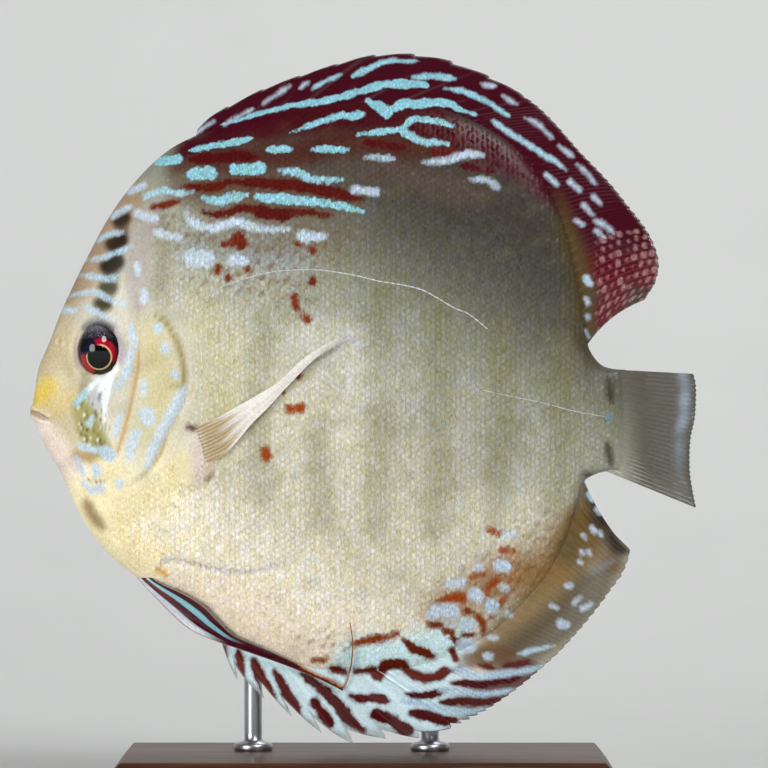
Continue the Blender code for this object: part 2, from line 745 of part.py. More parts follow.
def build_fins(collection, colours):
    dorsal_root = root_on(TOP, *DORSAL_ROOT, GAP)
    dorsal_edge = smooth(DORSAL_EDGE)
    anal_root = root_on(BOTTOM, *ANAL_ROOT, -GAP)
    anal_edge = smooth(ANAL_EDGE)
    dorsal = (dorsal_root, dorsal_edge, DORSAL_LEAN)
    anal = (anal_root, anal_edge, ANAL_LEAN)
    tail = (tail_root(), smooth(TAIL_EDGE), 1.0)

    def dorsal_notch(u):
        return np.full_like(u, DORSAL_NOTCH)

    def anal_notch(u):
        return ANAL_NOTCH * (1.0 - ANAL_NOTCH_FADE * u)

    fins = [
        ("dorsal_fin_spiny", dorsal, DORSAL_SPINES, (0.0, DORSAL_SPLIT - FIN_SLIT), DORSAL_ROWS[0],
         DORSAL_BOW, dorsal_notch, "fin_red"),
        ("dorsal_fin_soft", dorsal, DORSAL_SOFT_RAYS, (DORSAL_SPLIT + FIN_SLIT, 1.0), DORSAL_ROWS[1],
         DORSAL_BOW, None, "fin_red"),
        ("anal_fin_spiny", anal, ANAL_SPINES, (0.0, ANAL_SPLIT - FIN_SLIT), ANAL_ROWS[0],
         ANAL_BOW, anal_notch, "fin_red"),
        ("anal_fin_soft", anal, ANAL_SOFT_RAYS, (ANAL_SPLIT + FIN_SLIT, 1.0), ANAL_ROWS[1],
         ANAL_BOW, None, "fin_brown"),
        ("tail_fin", tail, TAIL_RAYS, (0.0, 1.0), TAIL_ROWS, 0.0, None, "fin_clear"),
    ]
    for name, curves, rays, span, rows, bow, notch, colour in fins:
        shape = middle_fin(*curves, rays, span, rows, bow, notch)
        finish(make_object(name, shape, collection), colours[colour], 80.0)

    pectoral = side_fin(PECTORAL_TOP, PECTORAL_LOW, PECTORAL_RAYS, PECTORAL_LIFT, GAP)
    build_pair("pectoral_fin", pectoral, collection, colours["fin_pale"], 80.0)
    pelvic = side_fin(PELVIC_TOP, PELVIC_LOW, PELVIC_RAYS, PELVIC_LIFT, PELVIC_OFFSET)
    build_pair("pelvic_fin", pelvic, collection, colours["fin_red"], 80.0)


def build_stand(collection, colours):
    base = make_object("stand_base", stand_base(), collection)
    edge = base.modifiers.new("soft edges", "BEVEL")
    edge.width = BASE_EDGE * MM
    edge.segments = 3
    finish(base, colours["base"])
    for name, (x, y, radius) in RODS.items():
        finish(make_object(name, rod(x, y, radius), collection), colours["rod"])


def main():
    clear_scene()
    collection = new_collection("discus_fish")
    colours = {name: new_material(name) for name in COLOURS}
    build_body(collection, colours)
    build_pair("gill_cover", cover_solid(), collection, colours["cover"])
    build_pair("eye", eye_ball(0.0), collection, colours["eye"])
    build_fins(collection, colours)
    build_stand(collection, colours)


main()
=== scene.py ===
import math

import bmesh
import bpy
import numpy as np
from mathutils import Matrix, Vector


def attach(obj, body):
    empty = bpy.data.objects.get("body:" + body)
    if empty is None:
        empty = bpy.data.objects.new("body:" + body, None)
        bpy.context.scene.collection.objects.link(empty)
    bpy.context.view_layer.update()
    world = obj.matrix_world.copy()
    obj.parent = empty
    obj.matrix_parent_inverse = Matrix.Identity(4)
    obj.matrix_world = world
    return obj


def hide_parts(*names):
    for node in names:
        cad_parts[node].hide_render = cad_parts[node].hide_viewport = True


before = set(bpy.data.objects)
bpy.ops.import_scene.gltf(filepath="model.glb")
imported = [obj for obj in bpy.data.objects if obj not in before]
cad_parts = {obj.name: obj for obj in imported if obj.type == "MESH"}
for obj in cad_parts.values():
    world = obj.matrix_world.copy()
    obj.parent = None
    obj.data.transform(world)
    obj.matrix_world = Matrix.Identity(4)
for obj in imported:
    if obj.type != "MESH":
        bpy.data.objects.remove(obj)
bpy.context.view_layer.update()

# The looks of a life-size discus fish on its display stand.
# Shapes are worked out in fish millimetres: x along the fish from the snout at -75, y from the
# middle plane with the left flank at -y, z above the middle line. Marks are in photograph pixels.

MM = 0.001
BASE_HEIGHT = 10.0
MIDDLE_HEIGHT = 90.2
RNG = np.random.default_rng(7)
SIDES = (("left", -1), ("right", 1))

# Photograph: its scale at the fish's middle plane, and the place of its middle pixel
PIXEL = 0.225
PHOTO_MIDDLE = 384.0
MIDDLE_X = (PHOTO_MIDDLE - 363.5) * PIXEL
MIDDLE_Z = (396.0 - PHOTO_MIDDLE) * PIXEL
CAMERA_DISTANCE = 1200.0
SENSOR = 36.0

# Side outline of the body, from the mouth to the root of the tail fin
TOP_OUTLINE = [
    (-75.0, -3.2), (-74.8, -2.7), (-74.4, -1.4), (-73.9, 1.5), (-73.0, 6.5), (-70.5, 12.5),
    (-68.0, 19.0), (-65.0, 25.5), (-61.5, 32.5), (-58.0, 39.0), (-54.0, 45.0), (-49.0, 50.8),
    (-44.0, 55.2), (-39.0, 58.0), (-33.5, 60.2), (-25.5, 62.7), (-16.5, 64.8), (-5.5, 66.4),
    (6.0, 66.9), (16.0, 65.5), (26.0, 61.8), (35.0, 55.5), (41.5, 47.0), (45.5, 37.0),
    (48.0, 26.0), (49.5, 17.0), (50.6, 11.0), (53.0, 7.4), (55.6, 6.2), (59.0, 5.9),
]
BOTTOM_OUTLINE = [
    (-75.0, -3.8), (-74.8, -4.3), (-74.4, -5.0), (-73.7, -6.4), (-72.8, -8.8), (-71.3, -12.0),
    (-69.2, -15.4), (-67.0, -19.5), (-65.0, -24.2), (-62.6, -28.6), (-60.0, -32.4), (-56.6, -36.2),
    (-50.5, -41.2), (-43.5, -46.7), (-37.0, -51.4), (-29.5, -55.8), (-21.0, -59.2), (-11.0, -61.7),
    (-1.0, -62.6), (9.5, -61.9), (19.5, -59.0), (28.5, -54.0), (35.5, -47.6), (41.5, -40.2),
    (45.5, -32.5), (48.3, -24.5), (49.6, -19.4), (52.2, -17.6), (55.6, -16.8), (59.0, -16.9),
]
HALF_WIDTH = [
    (-75.0, 0.0), (-74.85, 0.9), (-74.5, 1.6), (-74.1, 2.1), (-73.0, 3.1), (-70.0, 4.8),
    (-65.0, 6.8), (-60.0, 8.5), (-54.0, 10.5), (-48.0, 12.0), (-40.0, 13.0), (-30.0, 13.4),
    (-15.0, 13.0), (0.0, 11.8), (15.0, 10.0), (30.0, 7.6), (40.0, 5.9), (47.0, 4.8), (52.0, 4.0),
    (55.0, 3.2), (57.2, 1.8), (59.0, 0.0),
]
RIM_HALF_WIDTH = [
    (-75.0, 0.0), (-74.5, 1.2), (-65.0, 1.5), (-40.0, 1.0), (0.0, 0.8), (57.2, 0.8), (59.0, 0.0),
]
SECTION_POWER = [(-75.0, 0.5), (-60.0, 0.6), (-45.0, 0.75), (-20.0, 0.88), (40.0, 0.8), (59.0, 0.6)]
RIM_ROUNDNESS = 30
SHOULDER_AT = (-37.0, -12.5)
SHOULDER_RADIUS = 4.6
SHOULDER_HEIGHT = 1.0

# Eye, mouth, nostril and gill cover
EYE_AT = (-59.15, 10.3)
EYE_RADII = (4.6, 5.7)
EYE_BULGE = 3.6
EYE_PROUD = 1.8
PUPIL_AT = (-58.95, 8.75)
ORBIT_RADII = (4.75, 5.85)
MOUTH_FRONT = (-75.4, -3.4)
MOUTH_CORNER = (-71.2, -5.4)
NOSTRIL_AT = (-68.3, 12.2)
COVER_FRONT = [
    (-50.2, 17.5), (-50.6, 9.0), (-51.2, 2.5), (-52.5, -2.5), (-53.8, -7.0), (-55.0, -11.5),
    (-56.4, -16.0), (-57.2, -20.0),
]
COVER_REAR = [
    (-47.2, 19.2), (-44.0, 17.4), (-41.5, 13.3), (-40.0, 8.2), (-39.5, 4.0), (-40.2, -0.3),
    (-42.0, -4.8), (-44.0, -8.4), (-45.6, -12.2), (-47.6, -15.8), (-50.5, -18.6), (-54.6, -21.4),
]
NECK_LINE = [
    (-40.0, 62.0), (-43.0, 56.0), (-46.0, 44.0), (-47.6, 33.0), (-47.0, 21.5), (-41.0, 17.4),
    (-38.4, 12.0), (-37.6, 4.0), (-38.2, -1.0), (-40.5, -8.0), (-44.0, -15.0), (-49.0, -20.0),
    (-55.5, -24.0), (-59.3, -33.5), (-62.0, -39.0),
]

# Fins: outer edges, and the stretches of the body's outline that carry them
DORSAL_ROOT = (-38.4, 49.6)
DORSAL_EDGE = [
    (-37.2, 60.8), (-34.0, 63.3), (-27.5, 66.8), (-20.5, 70.0), (-12.5, 72.8), (-7.0, 74.5),
    (1.0, 76.6), (8.5, 77.2), (15.5, 76.5), (21.0, 75.0), (29.0, 71.8), (34.5, 68.7),
    (39.5, 65.0), (44.0, 60.5), (49.0, 54.8), (55.0, 48.5), (59.5, 43.0), (64.0, 37.0),
    (66.4, 31.0), (65.9, 26.0), (63.4, 21.8),
]
DORSAL_SPLIT = 0.58
DORSAL_LEAN = 1.4
DORSAL_BOW = -1.6
ANAL_ROOT = (-32.6, 49.3)
ANAL_EDGE = [
    (-31.6, -58.6), (-27.6, -65.0), (-20.6, -69.2), (-13.4, -73.9), (-3.6, -78.0), (4.5, -77.2),
    (13.0, -76.9), (18.0, -75.5), (25.0, -72.2), (30.5, -68.8), (36.0, -64.8), (43.0, -58.7),
    (47.5, -54.0), (52.0, -48.7), (55.6, -43.8), (58.4, -39.8), (60.0, -35.0), (58.2, -33.2),
]
ANAL_SPLIT = 0.50
ANAL_LEAN = 1.6
ANAL_BOW = 0.8
TAIL_ROOT_X = 55.6
TAIL_EDGE = [
    (74.3, 5.0), (74.9, 2.0), (74.7, -4.5), (73.6, -10.0), (73.5, -16.5), (74.1, -21.0),
    (74.9, -25.2),
]
PECTORAL_TOP = [
    (-37.6, -7.0), (-32.5, -4.6), (-27.5, -2.0), (-24.0, 0.0), (-19.0, 3.1), (-13.5, 8.2),
    (-8.0, 11.8), (-3.4, 13.6),
]
PECTORAL_LOW = [
    (-35.2, -15.0), (-30.6, -12.8), (-27.6, -9.6), (-24.6, -6.0), (-21.0, -2.4), (-16.4, 2.6),
    (-10.4, 8.6), (-3.6, 13.1),
]
PELVIC_TOP = [
    (-47.2, -40.8), (-45.2, -42.0), (-39.5, -44.4), (-35.2, -47.2), (-32.5, -50.2), (-29.0, -53.6),
    (-24.0, -55.9), (-15.5, -60.0), (-4.6, -65.7),
]
PELVIC_LOW = [
    (-51.0, -40.9), (-49.6, -42.4), (-44.8, -47.4), (-39.5, -52.2), (-33.5, -55.0), (-26.5, -57.4),
    (-18.5, -60.2), (-10.5, -63.4), (-4.6, -66.3),
]
FILAMENT = [
    (296, 665), (319, 677), (332, 681.5), (341.5, 688), (347, 681), (351.5, 662), (352.5, 641), (350, 622),
]

# Stand
BASE_LENGTH = 112.0
BASE_WIDTH = 72.0
RODS = {"stand_rod_front": (-25.0, 6.9), "stand_rod_rear": (15.0, 6.3)}
MOULDING_DROP = 3.2
MOULDING_STEP = 0.6
MOULDING_RISE = 2.6
MOULDING_INSET = 4.4
MOULDING_BEVEL = 0.28


# Numbers and curves

def soft_step(low, high, value):
    t = np.clip((value - low) / (high - low), 0.0, 1.0)
    return t * t * (3 - 2 * t)


def smooth(points, per_span=12):
    """A Catmull-Rom curve through the points, sampled closely."""
    knots = np.array([points[0], *points, points[-1]], float)
    knots[0] = 2 * knots[1] - knots[2]
    knots[-1] = 2 * knots[-2] - knots[-3]
    samples = []
    for a, b, c, d in zip(knots[:-3], knots[1:-2], knots[2:-1], knots[3:]):
        for t in np.linspace(0.0, 1.0, per_span, endpoint=False):
            samples.append(0.5 * (2 * b + (c - a) * t + (2 * a - 5 * b + 4 * c - d) * t ** 2
                                  + (3 * b - a - 3 * c + d) * t ** 3))
    samples.append(knots[-2])
    return np.array(samples)


def along(curve, fractions):
    """Points at these fractions of a sampled curve's length."""
    steps = np.linalg.norm(np.diff(curve, axis=0), axis=1)
    length = np.concatenate([[0.0], np.cumsum(steps)])
    wanted = np.asarray(fractions) * length[-1]
    return np.stack([np.interp(wanted, length, curve[:, i]) for i in range(curve.shape[1])], axis=-1)


def offset(curve, distance):
    run = np.gradient(curve, axis=0)
    run /= np.linalg.norm(run, axis=1)[:, None]
    return curve + distance * np.stack([-run[:, 1], run[:, 0]], axis=-1)


def line_distance(x, z, curve):
    """Distance from each place to a sampled line, its sign positive on the line's left, and how far along."""
    best = np.full(np.shape(x), 1e6)
    signed = best.copy()
    share = np.zeros(np.shape(x))
    count = len(curve) - 1
    for k, (a, b) in enumerate(zip(curve[:-1], curve[1:])):
        run = b - a
        t = np.clip(((x - a[0]) * run[0] + (z - a[1]) * run[1]) / max(run @ run, 1e-9), 0.0, 1.0)
        dx, dz = x - a[0] - t * run[0], z - a[1] - t * run[1]
        gap = np.hypot(dx, dz)
        closer = gap < best
        side = np.sign(run[0] * dz - run[1] * dx)
        best = np.where(closer, gap, best)
        signed = np.where(closer, gap * np.where(side == 0, 1, side), signed)
        share = np.where(closer, (k + t) / count, share)
    return signed, share


def ripple(x, z, scale, seed):
    """Slow, smooth unevenness between about -1 and 1."""
    turns = np.random.default_rng(seed).uniform(0, 2 * math.pi, 8)
    total = 0.0
    for k in range(4):
        run = (x * math.cos(turns[k]) + z * math.sin(turns[k])) / scale
        total = total + np.sin(run * (1 + 0.37 * k) + turns[k + 4])
    return total / 3.0


TOP = smooth(TOP_OUTLINE)
BOTTOM = smooth(BOTTOM_OUTLINE)
WIDTH = smooth(HALF_WIDTH)


def read(table, x):
    knots = np.asarray(table)
    return np.interp(x, np.maximum.accumulate(knots[:, 0]), knots[:, 1])


def half_thickness(x, z):
    """Half of the body's thickness at a place in the side view."""
    top, bottom = read(TOP, x), read(BOTTOM, x)
    wide, rim = np.maximum(read(WIDTH, x), 0.0), read(RIM_HALF_WIDTH, x)
    height = np.clip(np.abs(2 * z - top - bottom) / np.maximum(top - bottom, 1e-6), 0.0, 1.0)
    edge = rim * np.sqrt(np.maximum(1 - height ** RIM_ROUNDNESS, 0.0))
    swell = np.exp(-((x - SHOULDER_AT[0]) ** 2 + (z - SHOULDER_AT[1]) ** 2) / SHOULDER_RADIUS ** 2)
    fullness = np.maximum(wide - rim, 0.0) * (1 - height ** 2) ** read(SECTION_POWER, x)
    return edge + fullness + SHOULDER_HEIGHT * swell


def photo_place(x, y, z):
    """The photograph's pixel that shows a place of the left flank. The right flank takes its mirror's."""
    scale = CAMERA_DISTANCE / (CAMERA_DISTANCE - np.abs(y)) / PIXEL
    return PHOTO_MIDDLE + (x - MIDDLE_X) * scale, PHOTO_MIDDLE - (z - MIDDLE_Z) * scale


def from_photo(points, depth=10.0):
    """Side-view places of photograph pixels on a plane that lies nearer to the camera by a depth."""
    scale = PIXEL * (CAMERA_DISTANCE - depth) / CAMERA_DISTANCE
    return [((px - PHOTO_MIDDLE) * scale + MIDDLE_X, (PHOTO_MIDDLE - py) * scale + MIDDLE_Z)
            for px, py in points]


# Markings of the photograph's fish: a line in pixels, its width at both ends, and a tone

# Turquoise stripes and spots; tone 0 is vivid, 1 is pale lilac
TURQUOISE = [
    ([(158, 162), (168, 160), (179, 159)], 8, 9, 0.0),
    ([(188, 151), (206, 147), (226, 144), (252, 138)], 5, 7, 0.0),
    ([(221, 125), (249, 117), (272, 110.5), (295, 105), (318, 102), (341, 97.5), (361, 90.6),
      (387, 84.4), (420, 84.4), (427, 86)], 4, 9, 0.0),
    ([(289, 133), (315, 123.5), (336, 117), (351, 116), (364, 114)], 4, 9, 0.0),
    ([(368, 101), (378, 106), (386, 112)], 6, 13, 0.0),
    ([(386, 112), (404, 104), (418, 104.5), (436, 102), (450, 104), (459, 109), (477, 115)], 11, 5, 0.0),
    ([(356, 135), (379, 132), (400, 129), (407, 124), (414, 119), (436, 121), (452, 126)], 5, 7, 0.0),
    ([(400, 131), (411, 136), (421, 141), (448, 144)], 8, 6, 0.1),
    ([(414, 77), (436, 76), (455, 79)], 6, 7, 0.1),
    ([(400, 87), (425, 86)], 6, 4, 0.0),
    ([(445, 88), (466, 92), (480, 98), (495, 107), (509, 116)], 6, 5, 0.1),
    ([(493, 121), (504, 129), (516, 137.5), (529, 145), (543, 154), (557, 162.5), (566, 171)], 6, 5, 0.2),
    ([(546, 175), (557, 184)], 5, 5, 0.3),
    ([(423, 162.5), (445, 161), (462.5, 155), (482, 155)], 5, 7, 0.45),
    ([(471, 179), (486, 180), (498, 187.5)], 6, 7, 0.6),
    ([(312, 90), (324, 82), (340, 75)], 4, 5, 0.15),
    ([(353, 76), (371, 67), (391, 61), (420, 61.5)], 7, 3, 0.1),
    ([(264, 103), (276, 95), (290, 86)], 3, 4, 0.55),
    ([(224, 125), (238, 117), (252, 109)], 3, 3, 0.6),
    ([(188, 139), (200, 130), (214, 122)], 3, 3, 0.7),
    ([(300, 88), (308, 82)], 3, 3, 0.6),
    ([(267, 149), (292, 149)], 7, 7, 0.0),
    ([(312, 149.5), (330, 149), (347, 150)], 7, 6, 0.0),
    ([(365, 157), (394, 159)], 6, 5, 0.3),
    ([(192, 175), (201, 173), (211, 173)], 12, 12, 0.05),
    ([(234, 169), (248, 169), (261, 168)], 11, 12, 0.0),
    ([(279.5, 171), (299, 172.5), (310, 179), (325, 180), (341, 179)], 8, 7, 0.1),
    ([(203, 197), (217, 201.5), (231, 198), (246, 195)], 8, 10, 0.1),
    ([(256, 197), (278, 198), (310, 201.5), (336, 205), (362, 211)], 11, 6, 0.05),
    ([(185, 214), (192, 223), (211, 228), (226, 224), (238, 221), (256.5, 228), (288, 230)], 9, 8, 0.45),
    ([(130, 192), (136, 188.5), (144, 185)], 6, 6, 0.35),
    ([(145, 197), (155, 193), (164, 190.5), (179, 193.5), (192, 192)], 8, 5, 0.2),
    ([(112, 217), (122, 210), (132, 206.5)], 6, 5, 0.4),
    ([(137, 213), (146, 217), (154, 218)], 8, 7, 0.55),
    ([(98, 242), (108, 235), (124, 232)], 5, 6, 0.3),
    ([(155, 232), (168, 235), (182, 238)], 9, 6, 0.45),
    ([(87, 260), (103, 258), (113, 254), (125, 249), (132, 246)], 6, 4, 0.3),
    ([(80, 275), (96.5, 277), (109, 279), (119, 276)], 5, 8, 0.25),
    ([(69, 296), (84, 293), (99, 293), (108, 298), (118, 303), (126, 305)], 5, 6, 0.3),
    ([(64, 310), (75, 311)], 7, 4, 0.35),
    ([(85, 306), (91, 310), (99, 314), (109, 319), (117, 319)], 8, 3, 0.35),
    ([(137, 266), (138, 272)], 7, 7, 0.35),
    ([(144, 293), (143, 300)], 7, 7, 0.45),
    ([(131, 325), (133, 342), (130, 360), (122, 379), (114, 390)], 8, 7, 0.5),
    ([(86, 392), (80, 399), (76, 404)], 6, 5, 0.2),
    ([(92, 418), (89, 424)], 5, 7, 0.3),
    ([(77, 444), (87, 448), (98, 450.5)], 6, 7, 0.35),
    ([(105, 451), (110, 456)], 12, 12, 0.35),
    ([(77, 458), (80, 466), (84, 474)], 6, 5, 0.5),
    ([(96, 467), (97, 474)], 8, 8, 0.35),
    ([(84, 484), (92, 490), (100, 488)], 6, 11, 0.55),
    ([(185, 389), (175, 407), (164, 428), (154, 447), (147, 466)], 15, 9, 0.65),
    ([(158, 328), (158, 330)], 10, 9, 0.3),
    ([(164, 348), (166, 349)], 9, 9, 0.35),
    ([(175, 373), (177, 376)], 8, 8, 0.35),
    ([(144, 383), (144, 393)], 6, 6, 0.5),
    ([(146, 414), (150, 420)], 15, 14, 0.6),
    ([(122, 412), (118, 422), (115, 436)], 6, 8, 0.55),
    ([(136, 434), (132, 444), (129, 456)], 11, 9, 0.68),
    ([(119, 484), (120, 486)], 10, 9, 0.7),
    ([(193, 258), (206, 259)], 20, 18, 0.7),
    ([(233, 260), (245, 261)], 12, 10, 0.7),
    ([(302, 236), (322, 237)], 12, 9, 0.7),
    ([(354, 190), (376, 192)], 9, 7, 0.7),
    ([(482, 84), (495, 86)], 4, 4, 0.6),
    ([(502, 96), (516, 104)], 4, 4, 0.6),
    ([(525, 118), (536, 123), (552, 137.5)], 4, 4, 0.5),
    ([(559, 146), (573, 157)], 4, 4, 0.6),
    ([(577, 164), (588, 174), (595, 184)], 4, 4, 0.6),
    ([(570, 182), (580, 191)], 5, 4, 0.5),
    ([(593, 196), (600, 203)], 5, 4, 0.7),
    ([(584, 205), (592, 214)], 5, 4, 0.7),
    ([(596, 221), (606, 226), (613, 233)], 6, 5, 0.55),
    ([(576, 221), (583, 224)], 4, 4, 0.7),
    ([(597, 231), (604, 238)], 5, 4, 0.7),
    ([(586, 279), (590, 284)], 7, 6, 0.35),
    ([(586, 299), (588, 304)], 4, 4, 0.5),
    ([(587, 316), (588, 320)], 4, 3, 0.5),
    ([(586, 331), (588, 336)], 4, 3, 0.4),
    ([(504, 536), (514, 533)], 8, 6, 0.7),
    ([(500, 566), (505, 567)], 14, 13, 0.4),
    ([(476, 567), (480, 567)], 7, 7, 0.7),
    ([(451, 584), (462, 582)], 12, 9, 0.55),
    ([(583, 535), (585, 539)], 4, 3, 0.5),
    ([(590, 494), (592, 499)], 6, 5, 0.3),
    ([(597, 509), (599, 513)], 5, 4, 0.4),
    ([(592, 527), (595, 531)], 5, 4, 0.5),
    ([(600, 532), (601, 535)], 4, 3, 0.5),
    ([(585, 480), (587, 485)], 4, 4, 0.5),
    ([(581, 551), (583, 554)], 4, 3, 0.65),
    ([(589, 551), (590, 555)], 4, 3, 0.65),
    ([(579, 562), (581, 563)], 4, 4, 0.7),
    ([(566, 586), (570, 586)], 5, 5, 0.7),
    ([(574, 603), (580, 597)], 5, 4, 0.75),
    ([(583, 609), (591, 604)], 6, 5, 0.6),
    ([(561, 624), (566, 625)], 9, 8, 0.65),
    ([(552, 606), (556, 608)], 6, 5, 0.7),
    ([(490, 637), (496, 638)], 5, 5, 0.7),
    ([(506, 613), (510, 615)], 5, 5, 0.7),
    ([(475, 595), (478, 597)], 15, 14, 0.45),
    ([(491, 606), (493, 608)], 14, 13, 0.3),
    ([(433, 613), (442, 610), (452, 611)], 13, 15, 0.4),
    ([(464, 624), (470, 625)], 13, 12, 0.35),
    ([(463, 646), (469, 648)], 13, 12, 0.35),
    ([(502, 588), (505, 588)], 8, 7, 0.6),
    ([(487, 656), (490, 656)], 8, 7, 0.4),
    ([(452, 668), (466, 673), (483, 676), (509, 673), (530, 670), (546, 666)], 10, 5, 0.28),
    ([(518, 654), (537.5, 649.5), (554, 646)], 5, 4, 0.3),
    ([(440, 690), (463, 692), (488, 694), (516, 690)], 9, 5, 0.28),
    ([(402, 700), (421.5, 704), (440, 709), (455, 712), (479.5, 711), (496, 707)], 8, 6, 0.25),
]

# Red marks; tone 0 is wine red, 1 is orange brown
RED = [
    ([(226, 182), (250, 182), (272, 184), (295, 186), (318, 189), (341, 194), (361, 199)], 9, 11, 0.1),
    ([(203, 212), (220, 215), (232, 211), (244, 208), (258, 211), (272, 214), (295, 212),
      (333, 215)], 8, 8, 0.15),
    ([(259, 211), (272, 214), (284, 214)], 12, 12, 0.1),
    ([(189, 160), (210, 158), (232, 156), (255, 157)], 9, 12, 0.05),
    ([(183, 185), (205, 188), (226, 184)], 6, 9, 0.15),
    ([(152, 207), (164, 205), (179, 202)], 5, 5, 0.3),
    ([(238, 238), (241, 243)], 13, 12, 0.3),
    ([(236, 242), (223, 245)], 8, 4, 0.4),
    ([(411, 127), (432, 130), (454, 136), (471, 143)], 7, 7, 0.0),
    ([(434, 151), (443, 151), (452, 152)], 8, 8, 0.1),
    ([(462.5, 167), (478, 168), (493, 171)], 8, 8, 0.0),
    ([(364, 142), (386, 145), (406, 148)], 8, 7, 0.05),
    ([(297, 243), (299, 243)], 5, 5, 0.4),
    ([(312, 250), (313, 251)], 6, 6, 0.4),
    ([(217, 269), (217, 272)], 7, 6, 0.45),
    ([(246, 268), (248, 270)], 6, 6, 0.4),
    ([(227, 277), (228, 279)], 5, 5, 0.45),
    ([(312, 280), (312, 283)], 8, 8, 0.3),
    ([(294, 297), (296, 307)], 7, 6, 0.45),
    ([(302, 315), (307, 319)], 5, 7, 0.6),
    ([(297, 375), (298, 377)], 5, 5, 0.7),
    ([(288, 410), (297, 409), (300, 409)], 8, 9, 0.95),
    ([(265, 451), (266, 457)], 8, 9, 0.95),
    ([(281, 390), (282, 392)], 3, 3, 0.6),
    ([(332, 668), (345, 672)], 8, 7, 0.2),
    ([(355, 672), (371, 670), (379, 676), (385, 665), (401.5, 664), (409, 671), (421.5, 677),
      (436, 677), (446, 671), (460, 669)], 9, 9, 0.2),
    ([(405, 641), (415, 649), (425, 653), (433, 657)], 8, 10, 0.25),
    ([(352, 645), (371, 640), (388, 637), (396, 634)], 6, 7, 0.75),
    ([(314, 660), (325, 660)], 4, 4, 0.9),
    ([(429, 625), (439, 625)], 5, 6, 0.45),
    ([(446, 631), (452, 633)], 6, 6, 0.5),
    ([(463, 635), (473, 635)], 5, 5, 0.3),
    ([(452, 650), (455, 659)], 6, 6, 0.3),
    ([(465, 610), (471, 612)], 6, 6, 0.6),
    ([(440, 602), (450, 598), (462, 597)], 6, 9, 0.9),
    ([(474, 612), (482, 622), (484, 634)], 5, 6, 0.7),
    ([(452, 636), (458, 644)], 6, 5, 0.3),
    ([(490, 618), (500, 604), (506, 596)], 4, 4, 0.9),
    ([(470, 578), (486, 574)], 4, 4, 1.0),
    ([(489, 530), (498, 534)], 6, 6, 0.95),
    ([(484, 600), (490, 586), (498, 580)], 5, 6, 0.9),
    ([(502, 551), (512, 552)], 5, 6, 0.95),
    ([(478, 664), (494, 668)], 5, 5, 0.2),
    ([(504, 666), (528, 662)], 6, 7, 0.15),
    ([(453, 683), (479.5, 684), (496, 681), (518, 678)], 8, 9, 0.0),
    ([(441, 702.5), (463, 701), (484, 702), (505, 699)], 8, 8, 0.05),
    ([(406.5, 694), (416.5, 696), (432, 694), (446, 690)], 6, 7, 0.0),
    ([(411.5, 713), (428, 715), (444, 721), (456, 720)], 11, 9, 0.05),
    ([(225, 647), (226, 655)], 4, 3, 0.3),
    ([(238, 651), (240, 662), (242, 678)], 8, 7, 0.2),
    ([(254, 660), (258, 672), (266, 688), (273, 699)], 9, 11, 0.15),
    ([(275, 672), (282, 684), (290, 698), (298, 714)], 8, 12, 0.1),
    ([(315, 702), (321, 711), (329, 722)], 9, 11, 0.05),
    ([(302, 674), (310, 680), (324, 690), (337, 704), (349, 719), (362, 731)], 8, 13, 0.05),
    ([(350, 696), (364, 699), (377, 698), (389, 702)], 8, 9, 0.1),
    ([(376, 714), (391, 720), (407, 731)], 11, 12, 0.05),
]

# Counter-shading: how far towards the rear of the back, in pixels, and the colour there
SHADING = [
    (-215, "#fbecd6"), (-170, "#f6edda"), (-140, "#e8e1d0"), (-105, "#d3cdba"), (-50, "#cdc9b8"),
    (0, "#d0ccba"),
    (35, "#bbbaab"), (70, "#a8a89a"), (105, "#98998c"), (135, "#838575"), (165, "#6b6a60"),
    (195, "#56534b"),
    (230, "#43423c"), (260, "#3f3a34"),
]

